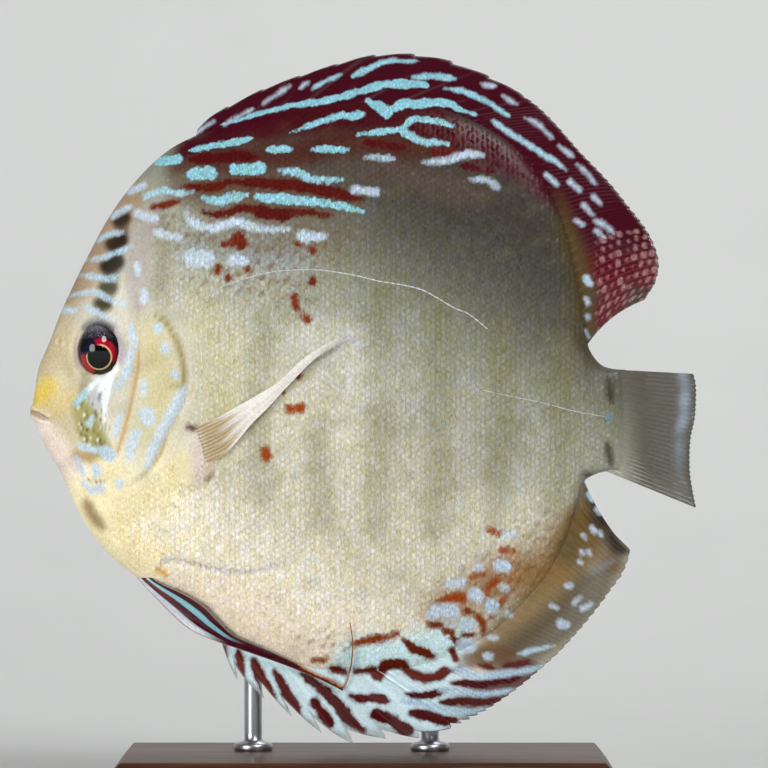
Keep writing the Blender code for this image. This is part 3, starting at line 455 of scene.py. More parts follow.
# Washes of ground colour, laid one over the other: line, width, softness, strength, all in pixels. A few are
# painted reflections, glints and a shadow, each marked below.
WASHES = [
    ("#6e675c", [(220, 215), (300, 225), (360, 225)], 20, 40, 0.55),
    ("#5a3f33", [(180, 190), (260, 190), (340, 200)], 26, 26, 0.85),
    ("#4a1f19", [(176, 168), (240, 160), (300, 152), (350, 142), (400, 146), (440, 150)], 24, 22, 0.85),
    ("#5c4a42", [(345, 165), (400, 175), (440, 186), (480, 196)], 22, 26, 0.6),
    ("#9aa6ae", [(190, 246), (250, 250), (300, 258)], 22, 30, 0.55),
    ("#76634c", [(196, 236), (260, 246), (330, 240)], 14, 24, 0.45),
    ("#bfb98e", [(205, 310), (225, 380), (215, 440)], 30, 50, 0.55),
    ("#fbf2d8", [(150, 490), (180, 540)], 44, 50, 0.8),
    ("#5c5a48", [(396, 430), (440, 480), (500, 450)], 50, 60, 0.24),
    ("#e2e2da", [(316, 340), (346, 350), (370, 384)], 36, 34, 0.4),
    ("#93744a", [(500, 590), (545, 560), (590, 510)], 30, 44, 0.85),
    ("#80642f", [(486, 650), (530, 618), (568, 570), (592, 510)], 36, 20, 0.85),
    ("#80602e", [(530, 580), (560, 566)], 20, 34, 0.6),
    ("#54492c", [(570, 550), (584, 524), (592, 492)], 22, 28, 0.8),
    ("#544a3c", [(500, 666), (560, 624), (612, 568)], 36, 26, 0.85),
    ("#9c7048", [(444, 612), (474, 592), (504, 572)], 26, 34, 0.75),
    ("#6c5026", [(578, 520), (598, 548), (612, 560)], 20, 18, 0.7),
    ("#20100f", [(587, 476), (598, 508), (616, 544), (630, 552)], 8, 12, 0.9),
    ("#2e2014", [(598, 520), (616, 546)], 14, 16, 0.75),
    # Painted highlight: grey-blue glints at the dark rear tip of the anal fin
    ("#7a848c", [(594, 572), (612, 561)], 4, 7, 0.6),
    ("#d6f2f8", [(336, 676), (360, 656), (400, 656), (440, 644), (462, 640)], 30, 24, 1.0),
    ("#6a4a30", [(462, 662), (484, 656), (512, 654)], 16, 12, 0.85),
    ("#4a0e1a", [(462, 706), (490, 694), (528, 676)], 26, 12, 0.9),
    ("#d4eef4", [(234, 654), (280, 682), (330, 704), (390, 716), (432, 716)], 34, 16, 0.97),
    ("#6e6658", [(456, 724), (486, 712), (530, 690), (570, 655), (600, 612)], 7, 12, 0.6),
    ("#440a16", [(184, 152), (230, 132), (300, 118), (360, 112), (420, 118), (470, 135)], 30, 14, 0.97),
    ("#420519", [(190, 134), (240, 106), (300, 80), (370, 58), (430, 62), (500, 88), (560, 130), (612, 188),
                 (646, 240)], 46, 16, 1.0),
    ("#460719", [(420, 132), (480, 148), (530, 172), (562, 202)], 26, 18, 0.9),
    ("#5e0c1c", [(600, 260), (612, 290), (606, 318)], 26, 18, 0.85),
    ("#5c0c18", [(596, 262), (640, 268), (660, 262)], 34, 22, 0.95),
    ("#564a2c", [(560, 225), (576, 270), (580, 320)], 12, 26, 0.75),
    ("#4a4030", [(572, 330), (584, 346), (596, 362)], 10, 16, 0.8),
    ("#a58b6f", [(140, 190), (112, 230), (88, 270), (70, 300)], 24, 22, 0.9),
    ("#c2b193", [(60, 320), (52, 345), (46, 370)], 24, 24, 0.95),
    ("#aca29c", [(152, 212), (142, 240), (138, 275), (140, 310)], 20, 16, 0.85),
    ("#a7a594", [(165, 250), (160, 290), (166, 315)], 20, 22, 0.6),
    ("#6a5f3c", [(160, 214), (166, 250), (158, 290)], 8, 18, 0.35),
    ("#cdbf9a", [(66, 350), (60, 400), (66, 440)], 34, 34, 0.95),
    ("#e0c45c", [(32, 398), (40, 396), (48, 388)], 16, 16, 0.95),
    ("#d9bf74", [(56, 408), (70, 400)], 10, 22, 0.7),
    ("#f3e2d6", [(40, 425), (56, 448), (76, 480)], 18, 18, 0.95),
    ("#fff2c4", [(82, 500), (108, 530), (142, 560)], 34, 30, 0.95),
    ("#f2e4b2", [(110, 470), (130, 500), (180, 470)], 30, 36, 0.8),
    ("#cdc290", [(150, 330), (160, 400), (140, 440)], 30, 34, 0.85),
    ("#d6d3b4", [(130, 400), (138, 450), (146, 480)], 14, 30, 0.6),
    ("#948230", [(155, 315), (168, 325.5), (178, 345), (183, 364), (183, 383), (172, 384)], 3, 6, 0.9),
    ("#c7a552", [(192, 389), (179, 410), (169, 428), (163, 450), (154, 466)], 1.5, 4, 0.8),
    ("#c2924a", [(138.6, 352), (138.6, 366), (135, 384), (130, 408), (123, 434), (117, 453)], 2, 5, 0.8),
    ("#a79cab", [(98, 326), (86, 334), (78, 350), (80, 366)], 4, 9, 0.6),
    ("#a79cab", [(98, 326), (112, 332), (121, 346), (121, 362)], 7, 9, 0.75),
    ("#85838c", [(84, 326), (98, 321), (114, 326)], 6, 8, 0.7),
    ("#32302e", [(84, 329), (98, 325), (112, 329)], 4, 6, 0.85),
    ("#5d523c", [(126, 212), (120, 240), (113, 270), (107, 296), (100, 312)], 10, 9, 0.9),
    ("#33241b", [(118, 222), (125, 218)], 10, 7, 0.95),
    ("#2b1c16", [(112, 244), (121, 240)], 13, 8, 0.97),
    ("#1f160e", [(107, 267), (117, 262)], 14, 8, 0.97),
    ("#3c3a18", [(104, 287), (112, 288)], 10, 8, 0.95),
    ("#3f3a20", [(98, 303), (107, 305)], 9, 8, 0.95),
    ("#8e8262", [(86, 376), (85, 392), (85, 402)], 10, 9, 0.65),
    ("#9c9650", [(84, 410), (90, 430), (98, 446)], 22, 10, 0.9),
    # Painted reflection: a pale grey-blue patch of a light's glare on the wet cheek under the eye
    ("#c3ccd2", [(106, 384), (98, 400)], 16, 8, 0.85),
    ("#b08a50", [(78, 455), (90, 458)], 8, 10, 0.8),
    # Painted reflection: white streaks of a light's glare on the wet cheek under the eye
    ("#ffffff", [(118, 367), (108, 378), (100, 390)], 6, 4, 1.0),
    ("#ffffff", [(112, 376), (108, 390), (106, 404)], 4, 3, 0.95),
    ("#f7fafc", [(103, 392), (105, 408), (104, 421)], 4, 3, 0.9),
    ("#e9f0f6", [(100, 378), (90, 388), (82, 398)], 5, 3, 0.9),
    ("#596066", [(101, 392), (98, 402)], 2, 3, 0.6),
    ("#6a4a2c", [(88, 479), (96, 482), (104, 481)], 1.2, 2, 0.8),
    ("#8a6a44", [(86, 502), (92, 514), (102, 527)], 8, 10, 0.8),
    ("#8c3c36", [(32, 410.5), (39, 413), (47, 418)], 1.0, 2, 0.75),
    ("#c9bcc0", [(157, 567), (166.5, 561), (186, 562), (208.6, 568), (242, 572), (270, 567),
                 (284, 564)], 3, 5, 0.8),
    ("#d8c8c4", [(197, 438), (200, 460), (199, 482)], 14, 12, 0.75),
    ("#e0b4a4", [(210, 445), (210, 466), (205, 478)], 2, 6, 0.5),
    ("#5a2440", [(188, 428), (195, 428)], 5, 4, 0.9),
    # Painted shadow: an olive line in the notch below the pectoral fin's root
    ("#7d7440", [(206, 482), (213, 473)], 3, 5, 0.8),
    ("#38361c", [(607, 374), (611, 402)], 6, 8, 0.85),
    ("#38361c", [(607, 444), (611, 464)], 6, 8, 0.85),
    ("#6d92b8", [(608, 416), (608, 418)], 5, 5, 0.8),
    ("#d9a93c", [(158, 570), (166, 574)], 5, 5, 0.8),
]

# Granules of the wet patch on the cheek, olive ones and pale ones that are painted glints, over an oval of
# this middle and these half sizes
GRANULES_AND_GLINTS = 70
GRANULES_AT = (93.0, 425.0)
GRANULES_REACH = (16.0, 24.0)
GRANULE_AND_GLINT_COLOURS = ["#5b5e1c", "#6f7226", "#e8ead8", "#47481a"]

# Patches where brown shows between the scales: line, width, softness in pixels
MOTTLED_COLOUR = "#6c3a1c"
MOTTLED = [
    ([(176, 226), (250, 246), (330, 246)], 30, 26), ([(196, 274), (260, 282), (300, 300)], 16, 24),
    ([(448, 606), (492, 586), (540, 530)], 34, 30), ([(300, 640), (350, 648)], 10, 14),
]

# Faint upright bars of the flank, and the pale lateral line
BAR_COLOUR = "#757044"
BAR_WIDTH = 7
BAR_SOFTNESS = 20.0
FLANK_BARS = [
    [(262, 330), (256, 420), (262, 500)], [(320, 420), (318, 470), (322, 520)],
    [(378, 290), (378, 400), (376, 530)], [(438, 310), (440, 410), (436, 530)],
    [(500, 330), (502, 420), (494, 520)], [(560, 340), (562, 420), (556, 500)],
]
LATERAL_LINE = [
    [(205, 300), (218, 289), (241, 280), (272, 272), (295, 270), (318, 270), (348, 274), (379, 281),
     (420, 289), (453, 307), (469, 314), (488, 329)],
    [(482, 390), (504, 395), (539, 402), (574, 411), (606, 417)],
]


def hue(text):
    """A web colour as linear red, green and blue."""
    channels = np.array([int(text[i:i + 2], 16) / 255 for i in (1, 3, 5)])
    return np.where(channels <= 0.04045, channels / 12.92, ((channels + 0.055) / 1.055) ** 2.4)


def wash_over(colour, cover, shade):
    """Moves colours towards a web colour, as far as the cover from 0 to 1 says."""
    colour += cover[..., None] * (hue(shade) - colour)


def stroke_gap(px, py, points, start, end, reach):
    """Distance in pixels from each place to a stroke's edge, negative inside it."""
    curve = smooth(points, 5) if len(points) > 2 else np.array(points, float)
    gap = np.full(px.shape, reach, float)
    tapered = np.linalg.norm(curve[-1] - curve[0]) > 3 * max(start, end)
    widest = max(start, end) / 2 + reach
    low, high = curve.min(0) - widest, curve.max(0) + widest
    near = (px > low[0]) & (px < high[0]) & (py > low[1]) & (py < high[1])
    if not near.any():
        return gap
    x, y = px[near], py[near]
    best = np.full(x.shape, reach, float)
    count = len(curve) - 1
    for k, (a, b) in enumerate(zip(curve[:-1], curve[1:])):
        run = b - a
        t = np.clip(((x - a[0]) * run[0] + (y - a[1]) * run[1]) / max(run @ run, 1e-9), 0.0, 1.0)
        share = (k + t) / count
        radius = 0.5 * (start + (end - start) * share)
        if tapered:
            radius = radius * (0.5 + 0.5 * soft_step(0.0, 0.2, np.minimum(share, 1 - share)))
        best = np.minimum(best, np.hypot(x - a[0] - t * run[0], y - a[1] - t * run[1]) - radius)
    gap[near] = best
    return gap


def stroke_field(px, py, strokes, reach=9.0):
    """Distance to the nearest stroke of a group, and that stroke's tone."""
    best = np.full(px.shape, reach)
    tone = np.zeros(px.shape)
    for points, start, end, shade in strokes:
        gap = stroke_gap(px, py, points, start, end, reach)
        closer = gap < best
        best[closer] = gap[closer]
        tone[closer] = shade
    return best * PIXEL, tone


def ground_colour(px, py):
    """Counter-shading from the pale belly to the dark rear back, with washes and upright bars over it; a few
    washes and the pale granules are painted reflections, glints and a notch shadow.
    """
    towards_back = 0.5 * (px - 300) - 0.85 * (py - 400)
    levels = [level for level, _ in SHADING]
    tints = np.array([hue(tint) for _, tint in SHADING])
    colour = np.stack([np.interp(towards_back, levels, tints[:, i]) for i in range(3)], axis=-1)
    for shade, points, width, softness, strength in WASHES:
        gap = stroke_gap(px, py, points, width, width, softness)
        wash_over(colour, strength * soft_step(softness, 0.0, gap + 0.35 * softness), shade)
    chance = np.random.default_rng(5)
    # Olive granules on the cheek, and pale painted glints of the wet skin among them
    for k in range(GRANULES_AND_GLINTS):
        turn, out = chance.uniform(0, 2 * math.pi), math.sqrt(chance.uniform(0, 1))
        x = GRANULES_AT[0] + out * GRANULES_REACH[0] * math.cos(turn)
        x = x + 0.25 * out * GRANULES_REACH[1] * math.sin(turn)
        y = GRANULES_AT[1] + out * GRANULES_REACH[1] * math.sin(turn)
        size = chance.uniform(0.8, 2.2)
        gap = stroke_gap(px, py, [(x, y), (x + 0.5, y + 0.8)], size, size, 1.6)
        wash_over(colour, 0.85 * soft_step(1.6, 0.0, gap + 0.5), GRANULE_AND_GLINT_COLOURS[k % len(GRANULE_AND_GLINT_COLOURS)])
    speckle = soft_step(0.05, 0.75, ripple(px, py, 2.3, 21))
    for points, width, softness in MOTTLED:
        gap = stroke_gap(px, py, points, width, width, softness)
        wash_over(colour, 0.5 * speckle * soft_step(softness, 0.0, gap), MOTTLED_COLOUR)
    for points in FLANK_BARS:
        gap = stroke_gap(px, py, points, BAR_WIDTH, BAR_WIDTH, BAR_SOFTNESS) + 3.0 * ripple(px, py, 9.0, 12)
        wash_over(colour, 0.34 * soft_step(BAR_SOFTNESS, 0.0, gap), BAR_COLOUR)
    return colour


def markings(places):
    """All that the surface's colours need at these places."""
    px, py = photo_place(*np.moveaxis(places, -1, 0))
    turquoise, pale = stroke_field(px, py, TURQUOISE)
    red, brown = stroke_field(px, py, RED)
    return {"ground": ground_colour(px, py), "turquoise": turquoise, "pale": pale, "red": red, "brown": brown}


# Shader arithmetic

class Shade:
    """A node's output that takes part in Python arithmetic."""

    def __init__(self, paint, socket):
        self.paint = paint
        self.socket = socket

    def math(self, operation, *values):
        inputs = dict(enumerate(values))
        return self.paint.node("ShaderNodeMath", {"operation": operation}, inputs)

    def __add__(self, other):
        return self.math("ADD", self, other)

    def __sub__(self, other):
        return self.math("SUBTRACT", self, other)

    def __rsub__(self, other):
        return self.math("SUBTRACT", other, self)

    def __mul__(self, other):
        return self.math("MULTIPLY", self, other)

    def __truediv__(self, other):
        return self.math("DIVIDE", self, other)

    __radd__ = __add__
    __rmul__ = __mul__

    def step(self, low, high):
        """Rises softly from 0 at low to 1 at high."""
        return self.paint.node("ShaderNodeMapRange", {"interpolation_type": "SMOOTHSTEP"},
                               {"Value": self, "From Min": low, "From Max": high})


class Paint:
    """A material's nodes."""

    def __init__(self, name):
        self.material = bpy.data.materials.new(name)
        self.material.use_nodes = True
        self.tree = self.material.node_tree
        self.shader = self.tree.nodes["Principled BSDF"]

    def put(self, socket, value):
        if isinstance(value, Shade):
            self.tree.links.new(value.socket, socket)
        elif socket.type == "RGBA" and len(value) == 3:
            socket.default_value = (*value, 1.0)
        else:
            socket.default_value = value

    def node(self, kind, settings=None, inputs=None, output=0):
        made = self.tree.nodes.new(kind)
        for name, value in (settings or {}).items():
            setattr(made, name, value)
        for name, value in (inputs or {}).items():
            self.put(made.inputs[name], value)
        return Shade(self, made.outputs[output])

    def attribute(self, name, output="Fac"):
        return self.node("ShaderNodeAttribute", {"attribute_name": name}, output=output)

    def places(self, scale=(1, 1, 1), shift=(0, 0, 0)):
        """Object coordinates in millimetres, moved and stretched."""
        spot = self.node("ShaderNodeTexCoord", output="Object")
        size = tuple(1000.0 * part for part in scale)
        return self.node("ShaderNodeMapping", None, {"Vector": spot, "Location": shift, "Scale": size})

    def noise(self, size, detail=2.0, stretch=(1, 1, 1), rough=0.5):
        """Noise with lumps of about this size in millimetres."""
        return self.node("ShaderNodeTexNoise", None, {"Vector": self.places(stretch), "Scale": 1.0 / size,
                                                      "Detail": detail, "Roughness": rough})

    def mix(self, share, first, second, blend="MIX"):
        return self.node("ShaderNodeMix", {"data_type": "RGBA", "blend_type": blend},
                         {0: share, 6: first, 7: second}, output=2)

    def bump(self, height, distance, strength=1.0):
        return self.node("ShaderNodeBump", None,
                         {"Strength": strength, "Distance": distance * MM, "Height": height})

    def shine(self, **inputs):
        names = {"colour": "Base Color", "roughness": "Roughness", "metallic": "Metallic", "normal": "Normal",
                 "coat": "Coat Weight", "coat_roughness": "Coat Roughness", "alpha": "Alpha",
                 "specular": "Specular IOR Level"}
        for name, value in inputs.items():
            self.put(self.shader.inputs[names[name]], value)
        return self.material


# Mesh making

def select_only(piece):
    bpy.ops.object.select_all(action="DESELECT")
    piece.select_set(True)
    bpy.context.view_layer.objects.active = piece


def clear_choice(kind):
    """Has edit mode select this kind of element, with none selected yet."""
    bpy.ops.object.mode_set(mode="EDIT")
    bpy.ops.mesh.select_mode(type=kind)
    bpy.ops.mesh.select_all(action="DESELECT")
    bpy.ops.object.mode_set(mode="OBJECT")


def write_layers(mesh, layers):
    for name, values in layers.items():
        flat = np.ascontiguousarray(values, np.float32)
        if flat.ndim == 2:
            flat = np.concatenate([flat, np.ones((len(flat), 1), np.float32)], axis=1)
            mesh.attributes.new(name, "FLOAT_COLOR", "POINT").data.foreach_set("color", flat.ravel())
        else:
            mesh.attributes.new(name, "FLOAT", "POINT").data.foreach_set("value", flat)


def to_metres(places):
    moved = places * MM
    moved[..., 2] += MIDDLE_HEIGHT * MM
    return moved


def grid_piece(name, places, layers, material):
    """A Blender grid laid onto rows and columns of places, with meeting borders merged."""
    rows, columns = places.shape[:2]
    bpy.ops.object.select_all(action="DESELECT")
    bpy.ops.mesh.primitive_grid_add(x_subdivisions=columns - 1, y_subdivisions=rows - 1, size=1.0)
    piece = bpy.context.object
    piece.name = name
    mesh = piece.data
    flat = np.empty(len(mesh.vertices) * 3)
    mesh.vertices.foreach_get("co", flat)
    column = np.rint((flat[0::3] + 0.5) * (columns - 1)).astype(int)
    row = np.rint((flat[1::3] + 0.5) * (rows - 1)).astype(int)
    mesh.vertices.foreach_set("co", to_metres(places)[row, column].ravel())
    write_layers(mesh, {key: values[row, column] for key, values in layers.items()})
    select_only(piece)
    bpy.ops.object.mode_set(mode="EDIT")
    bpy.ops.mesh.select_all(action="SELECT")
    bpy.ops.mesh.remove_doubles(threshold=1e-6)
    bpy.ops.mesh.normals_make_consistent(inside=False)
    if bmesh.from_edit_mesh(mesh).calc_volume(signed=True) < 0:
        bpy.ops.mesh.flip_normals()
    bpy.ops.object.mode_set(mode="OBJECT")
    bpy.ops.object.shade_smooth()
    mesh.materials.clear()
    mesh.materials.append(material)
    return piece


def settle(piece, slot, *replaced):
    """Rides on the still body and stands for the solids it replaces. Its slot is not used."""
    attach(piece, "root")
    if replaced:
        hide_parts(*replaced)
    return piece


# Colours of skin and fins

def marked_colour(paint, ragged=0.5):
    """Ground, red marks in a brown halo, and turquoise marks, their edges frayed by the scales."""
    fray = (paint.noise(0.7, 3.0, (1.5, 1.0, 0.8), 0.6) - 0.5) * (2 * ragged)
    fray = fray + (paint.noise(2.4, 2.0) - 0.5) * 1.7
    pale = paint.attribute("pale")
    brown = paint.attribute("brown")
    grain = paint.noise(0.45, 3.0, (1.2, 1.0, 0.6), 0.65).step(0.3, 0.7)
    vivid = paint.mix(grain, hue("#66aabf"), hue("#a2d2dd"))
    turquoise = paint.mix(pale.step(0.0, 0.45), vivid, paint.mix(grain, hue("#adc6e0"), hue("#d8e6f4")))
    turquoise = paint.mix(pale.step(0.75, 0.9), turquoise, paint.mix(grain, hue("#8c5c62"), hue("#c29c9a")))
    red = paint.mix(brown, hue("#3a030f"), hue("#a44a12"))
    red = paint.mix(grain * 0.4, red, paint.mix(brown, hue("#680a14"), hue("#722608")))
    red_gap = paint.attribute("red") + fray
    soft = brown * 0.35 + 0.26
    halo = red_gap.step(0.8, 0.0) * 0.45
    colour = paint.mix(halo, paint.attribute("ground", "Color"),
                       paint.mix(brown, hue("#4c2018"), hue("#8a4c24")))
    colour = paint.mix(red_gap.step(soft, soft * -1.0), colour, red)
    soft = pale * (1.05 - pale) * 1.5 + 0.24
    cover = (paint.attribute("turquoise") + fray * 0.8).step(soft, soft * -1.0)
    return paint.mix(cover * (1.0 - pale * 0.4), colour, turquoise)


def skin_material():
    paint = Paint("wet skin")
    mottle = paint.noise(0.6, 3.0, (1.4, 1.0, 0.8), 0.65).step(0.28, 0.72)
    cloud = paint.noise(6.0, 3.0).step(0.3, 0.7)
    colour = marked_colour(paint, 0.35)
    shaded = paint.mix(1.0, colour, paint.mix(mottle, (0.88, 0.87, 0.83), (1.10, 1.11, 1.13)), "MULTIPLY")
    shaded = paint.mix(1.0, shaded, paint.mix(cloud, (0.94, 0.94, 0.92), (1.06, 1.06, 1.07)), "MULTIPLY")
    pores = paint.noise(0.35, 2.0)
    normal = paint.bump(pores + mottle * 0.5, 0.06, 0.5)
    return paint.shine(colour=shaded, roughness=0.42 + mottle * 0.14, normal=normal, coat=0.28,
                       coat_roughness=0.26, specular=0.0)


def scale_material():
    paint = Paint("wet scales")
    colour = marked_colour(paint)
    streak = paint.noise(0.30, 3.0, (1.0, 1.0, 0.32), 0.7).step(0.32, 0.68)
    patch = paint.noise(1.6, 2.0, (1.0, 1.0, 0.6)).step(0.35, 0.65)
    tint = paint.mix(streak, (0.80, 0.77, 0.66), (1.17, 1.19, 1.25))
    tint = paint.mix(1.0, tint, paint.mix(patch, (0.93, 0.93, 0.80), (1.05, 1.05, 1.14)), "MULTIPLY")
    shade = paint.attribute("shade")
    tint = paint.mix(1.0, tint, paint.mix(shade, (0.0, 0.0, 0.0), (2.0, 2.0, 2.0)), "MULTIPLY")
    shaded = paint.mix(1.0, colour, tint, "MULTIPLY")
    normal = paint.bump(streak, 0.02, 0.4)
    return paint.shine(colour=shaded, roughness=0.42 + streak * 0.14, normal=normal, coat=0.20,
                       coat_roughness=0.30, specular=0.0)


def fin_material(name):
    """Web and rays of a fin; attribute ray marks the rays, and clear how see-through the web is."""
    paint = Paint(name)
    ray = paint.attribute("ray")
    clear = paint.attribute("clear")
    streak = paint.noise(0.5, 3.0, (1.0, 1.0, 1.0), 0.6).step(0.3, 0.7)
    colour = marked_colour(paint, 0.3)
    shaded = paint.mix(1.0, colour, paint.mix(ray, (0.95, 0.94, 0.93), (1.05, 1.05, 1.05)), "MULTIPLY")
    shaded = paint.mix(1.0, shaded, paint.mix(streak, (0.90, 0.88, 0.86), (1.08, 1.08, 1.08)), "MULTIPLY")
    alpha = 1.0 - clear * (1.0 - ray * 0.55)
    normal = paint.bump(streak, 0.05, 0.5)
    return paint.shine(colour=shaded, roughness=0.42 + streak * 0.12, normal=normal, coat=0.7,
                       coat_roughness=0.07, specular=0.0, alpha=alpha)


# Skin: one closed surface over the head, body, tail stalk and gill covers

STATION_STEP = 0.64
FACE_STEP = 0.23
SNOUT_STEP = 0.09
SIDE_ROWS = 118
COAT_DEPTH = 0.18
FOREMOST_X = -74.97
OUTLINE_SAMPLES = 12000


def station_places():
    """Places along the fish, close together on the snout and face."""
    x = np.linspace(TOP[0, 0], TOP[-1, 0], OUTLINE_SAMPLES)
    step = FACE_STEP + (STATION_STEP - FACE_STEP) * soft_step(-50.0, -38.0, x)
    step = SNOUT_STEP + (step - SNOUT_STEP) * soft_step(-75.0, -71.5, x)
    step = step - 0.42 * soft_step(54.0, 57.0, x)
    run = np.concatenate([[0.0], np.cumsum(np.diff(x) / step[1:])])
    return np.interp(np.linspace(0.0, run[-1], int(run[-1])), run, x)


def ridge(gap, width):
    return np.exp(-(gap / width) ** 2)


def skin_relief(x, z):
    """How far the skin stands out of the plain body, in millimetres."""
    rear = smooth(COVER_REAR)
    behind, share = line_distance(x, z, rear)
    front, _ = line_distance(x, z, smooth(COVER_FRONT))
    fade = soft_step(0.0, 0.12, share) * soft_step(1.0, 0.88, share)
    inside = soft_step(0.16, -0.16, behind)
    lift = 0.75 * np.exp(-np.maximum(-behind, 0.0) / 7.0)
    relief = fade * (inside * lift - 0.35 * ridge(behind - 0.5, 0.45))
    relief -= 0.30 * ridge(front, 0.5) * soft_step(24.0, 16.0, z) * soft_step(-24.0, -18.0, z)
    relief += 0.25 * ridge(front + 1.2, 1.0)

    radius = np.hypot((x - EYE_AT[0]) / ORBIT_RADII[0], (z - EYE_AT[1]) / ORBIT_RADII[1]) * ORBIT_RADII[0]
    relief += 0.50 * ridge(radius - ORBIT_RADII[0] - 0.2, 0.5) + 0.35 * ridge(radius - 6.6, 1.6)
    relief -= 3.2 * soft_step(ORBIT_RADII[0] - 0.05, ORBIT_RADII[0] - 0.9, radius)

    nostril = np.hypot(x - NOSTRIL_AT[0], z - NOSTRIL_AT[1])
    relief += 0.35 * ridge(nostril - 0.85, 0.35) - 0.7 * ridge(nostril, 0.5)

    run = np.subtract(MOUTH_CORNER, MOUTH_FRONT)
    length = np.hypot(*run)
    run = run / length
    t = (x - MOUTH_FRONT[0]) * run[0] + (z - MOUTH_FRONT[1]) * run[1]
    d = (z - MOUTH_FRONT[1]) * run[0] - (x - MOUTH_FRONT[0]) * run[1]
    near = soft_step(length + 1.2, length - 1.0, t)
    lips = 0.50 * ridge(d - 0.85, 0.55) + 0.50 * ridge(d + 0.85, 0.55)
    relief += near * (lips - 0.95 * ridge(d, 0.22))
    relief -= 0.30 * ridge(t - length - 1.0, 0.8) * ridge(d, 1.4)

    for points, depth, width in SKIN_CREASES:
        gap, share = line_distance(x, z, smooth(from_photo(points)))
        relief += depth * ridge(gap, width) * soft_step(0.0, 0.1, share) * soft_step(1.0, 0.9, share)
    return relief + 0.10 * ripple(x, z, 7.0, 3) + 0.05 * ripple(x, z, 2.6, 4)


# Creases and low ridges of the skin: photograph pixels, height, width in millimetres
SKIN_CREASES = [
    ([(157, 567), (166.5, 561), (186, 562), (208.6, 568), (242, 572), (270, 567), (284, 564)], -0.45, 0.55),
    ([(213, 473), (206, 481), (200.6, 484.5)], -0.35, 0.5),
    ([(192, 389), (179, 410), (169, 428), (163, 450), (154, 466)], -0.22, 0.35),
    ([(88, 479), (96, 482), (104, 481)], -0.25, 0.3),
    ([(60, 455), (74, 476), (84, 500), (104, 530), (134, 556)], -0.15, 0.6),
    ([(155, 315), (168, 325.5), (179, 345), (184.5, 364)], -0.18, 0.5),
    ([(124, 372), (112, 398), (106, 430), (104, 460)], 0.25, 1.3),
]


def lateral_relief(x, y, z):
    px, py = photo_place(x, y, z)
    height = np.zeros(x.shape)
    for points in LATERAL_LINE:
        gap = stroke_gap(px, py, points, 0.5, 0.5, 8.0) * PIXEL
        height = np.maximum(height, 0.22 * ridge(gap, 0.45))
    return height


def surface_normals(places):
    along_rows = np.gradient(places, axis=0)
    across = np.gradient(places, axis=1)
    normal = np.cross(along_rows, across)
    normal /= np.maximum(np.linalg.norm(normal, axis=2, keepdims=True), 1e-9)
    return normal


def left_side():
    """Grid of the left flank: stations from snout to tail, rows from the belly to the back."""
    x = station_places()
    turn = np.linspace(-math.pi / 2, math.pi / 2, SIDE_ROWS)
    top, bottom = read(TOP, x), read(BOTTOM, x)
    z = (top + bottom)[:, None] / 2 + np.sin(turn)[None, :] * (top - bottom)[:, None] / 2
    x = np.repeat(x[:, None], SIDE_ROWS, axis=1)
    y = -np.maximum(half_thickness(x, z), 0.0)
    y[:, 0] = 0.0
    y[:, -1] = 0.0
    y[0] = 0.0
    y[-1] = 0.0
    places = np.stack([x, y, z], axis=-1)
    normal = surface_normals(places)
    if normal[len(normal) // 2, SIDE_ROWS // 2, 1] > 0:
        normal = -normal
    lift = skin_relief(x, z) + lateral_relief(x, y, z) - COAT_DEPTH
    edge = np.minimum(np.abs(y) / 0.5, 1.0)
    edge[0], edge[-1] = 0.0, 0.0
    places += normal * (lift * edge)[..., None]
    places[..., 0] = np.maximum(places[..., 0], FOREMOST_X)
    places[:, 0, 1] = 0.0
    places[:, -1, 1] = 0.0
    return places


LEFT = left_side()


def mirror_image(places):
    return places * np.array([1.0, -1.0, 1.0])


def build_skin(material):
    ring = np.concatenate([LEFT, mirror_image(LEFT)[:, ::-1][:, 1:]], axis=1)
    layers = markings(ring)
    piece = grid_piece("skin", ring, layers, material)
    return settle(piece, "flank_skin", "head", "torso", "tail_stalk", "gill_cover_left", "gill_cover_right")


# Scales: thin overlapping plates in staggered rows over the flank

SCALE_LENGTH = 1.12
SCALE_HEIGHT = 1.42
SCALE_TILT = 3.0
SCALE_PLAN = np.array([(-0.55, -0.5), (-0.55, 0.5), (0.15, 0.62), (0.62, 0.42), (0.86, 0.0),
                       (0.62, -0.42), (0.15, -0.62)])
SCALE_RISE = np.array([-0.10, -0.10, 0.00, 0.07, 0.09, 0.07, 0.00])
SCALE_TINT = np.array([0.86, 0.86, 0.87, 0.90, 0.93, 0.90, 0.87])
SCALE_CROWN = (0.32, 0.08, 1.13)
SCALE_KEEL = (0.0, -0.16, 0.7)
BAKE_PATCH = 0.003


def scale_roots():
    """Staggered places over the flank behind the head, clear of the outline."""
    x = np.arange(-62.0, 57.0, SCALE_LENGTH)
    z = np.arange(-64.0, 68.0, SCALE_HEIGHT)
    grid_x, grid_z = np.meshgrid(x, z, indexing="ij")
    grid_z[1::2] += SCALE_HEIGHT / 2
    grid_x += RNG.normal(0.0, 0.07, grid_x.shape)
    grid_z += RNG.normal(0.0, 0.07, grid_z.shape)
    grid_z += 0.9 * ripple(grid_x, grid_z, 16.0, 5)
    margin = 0.9
    behind, _ = line_distance(grid_x, grid_z, smooth(NECK_LINE, 4))
    keep = (behind > 0.2) & (grid_z < read(TOP, grid_x) - margin) & (grid_z > read(BOTTOM, grid_x) + margin)
    shoulder = np.hypot((grid_x + 39.5) / 3.2, (grid_z + 13.5) / 6.0)
    keep &= shoulder > 1.0
    return grid_x[keep], grid_z[keep], soft_step(0.0, 7.0, behind[keep])


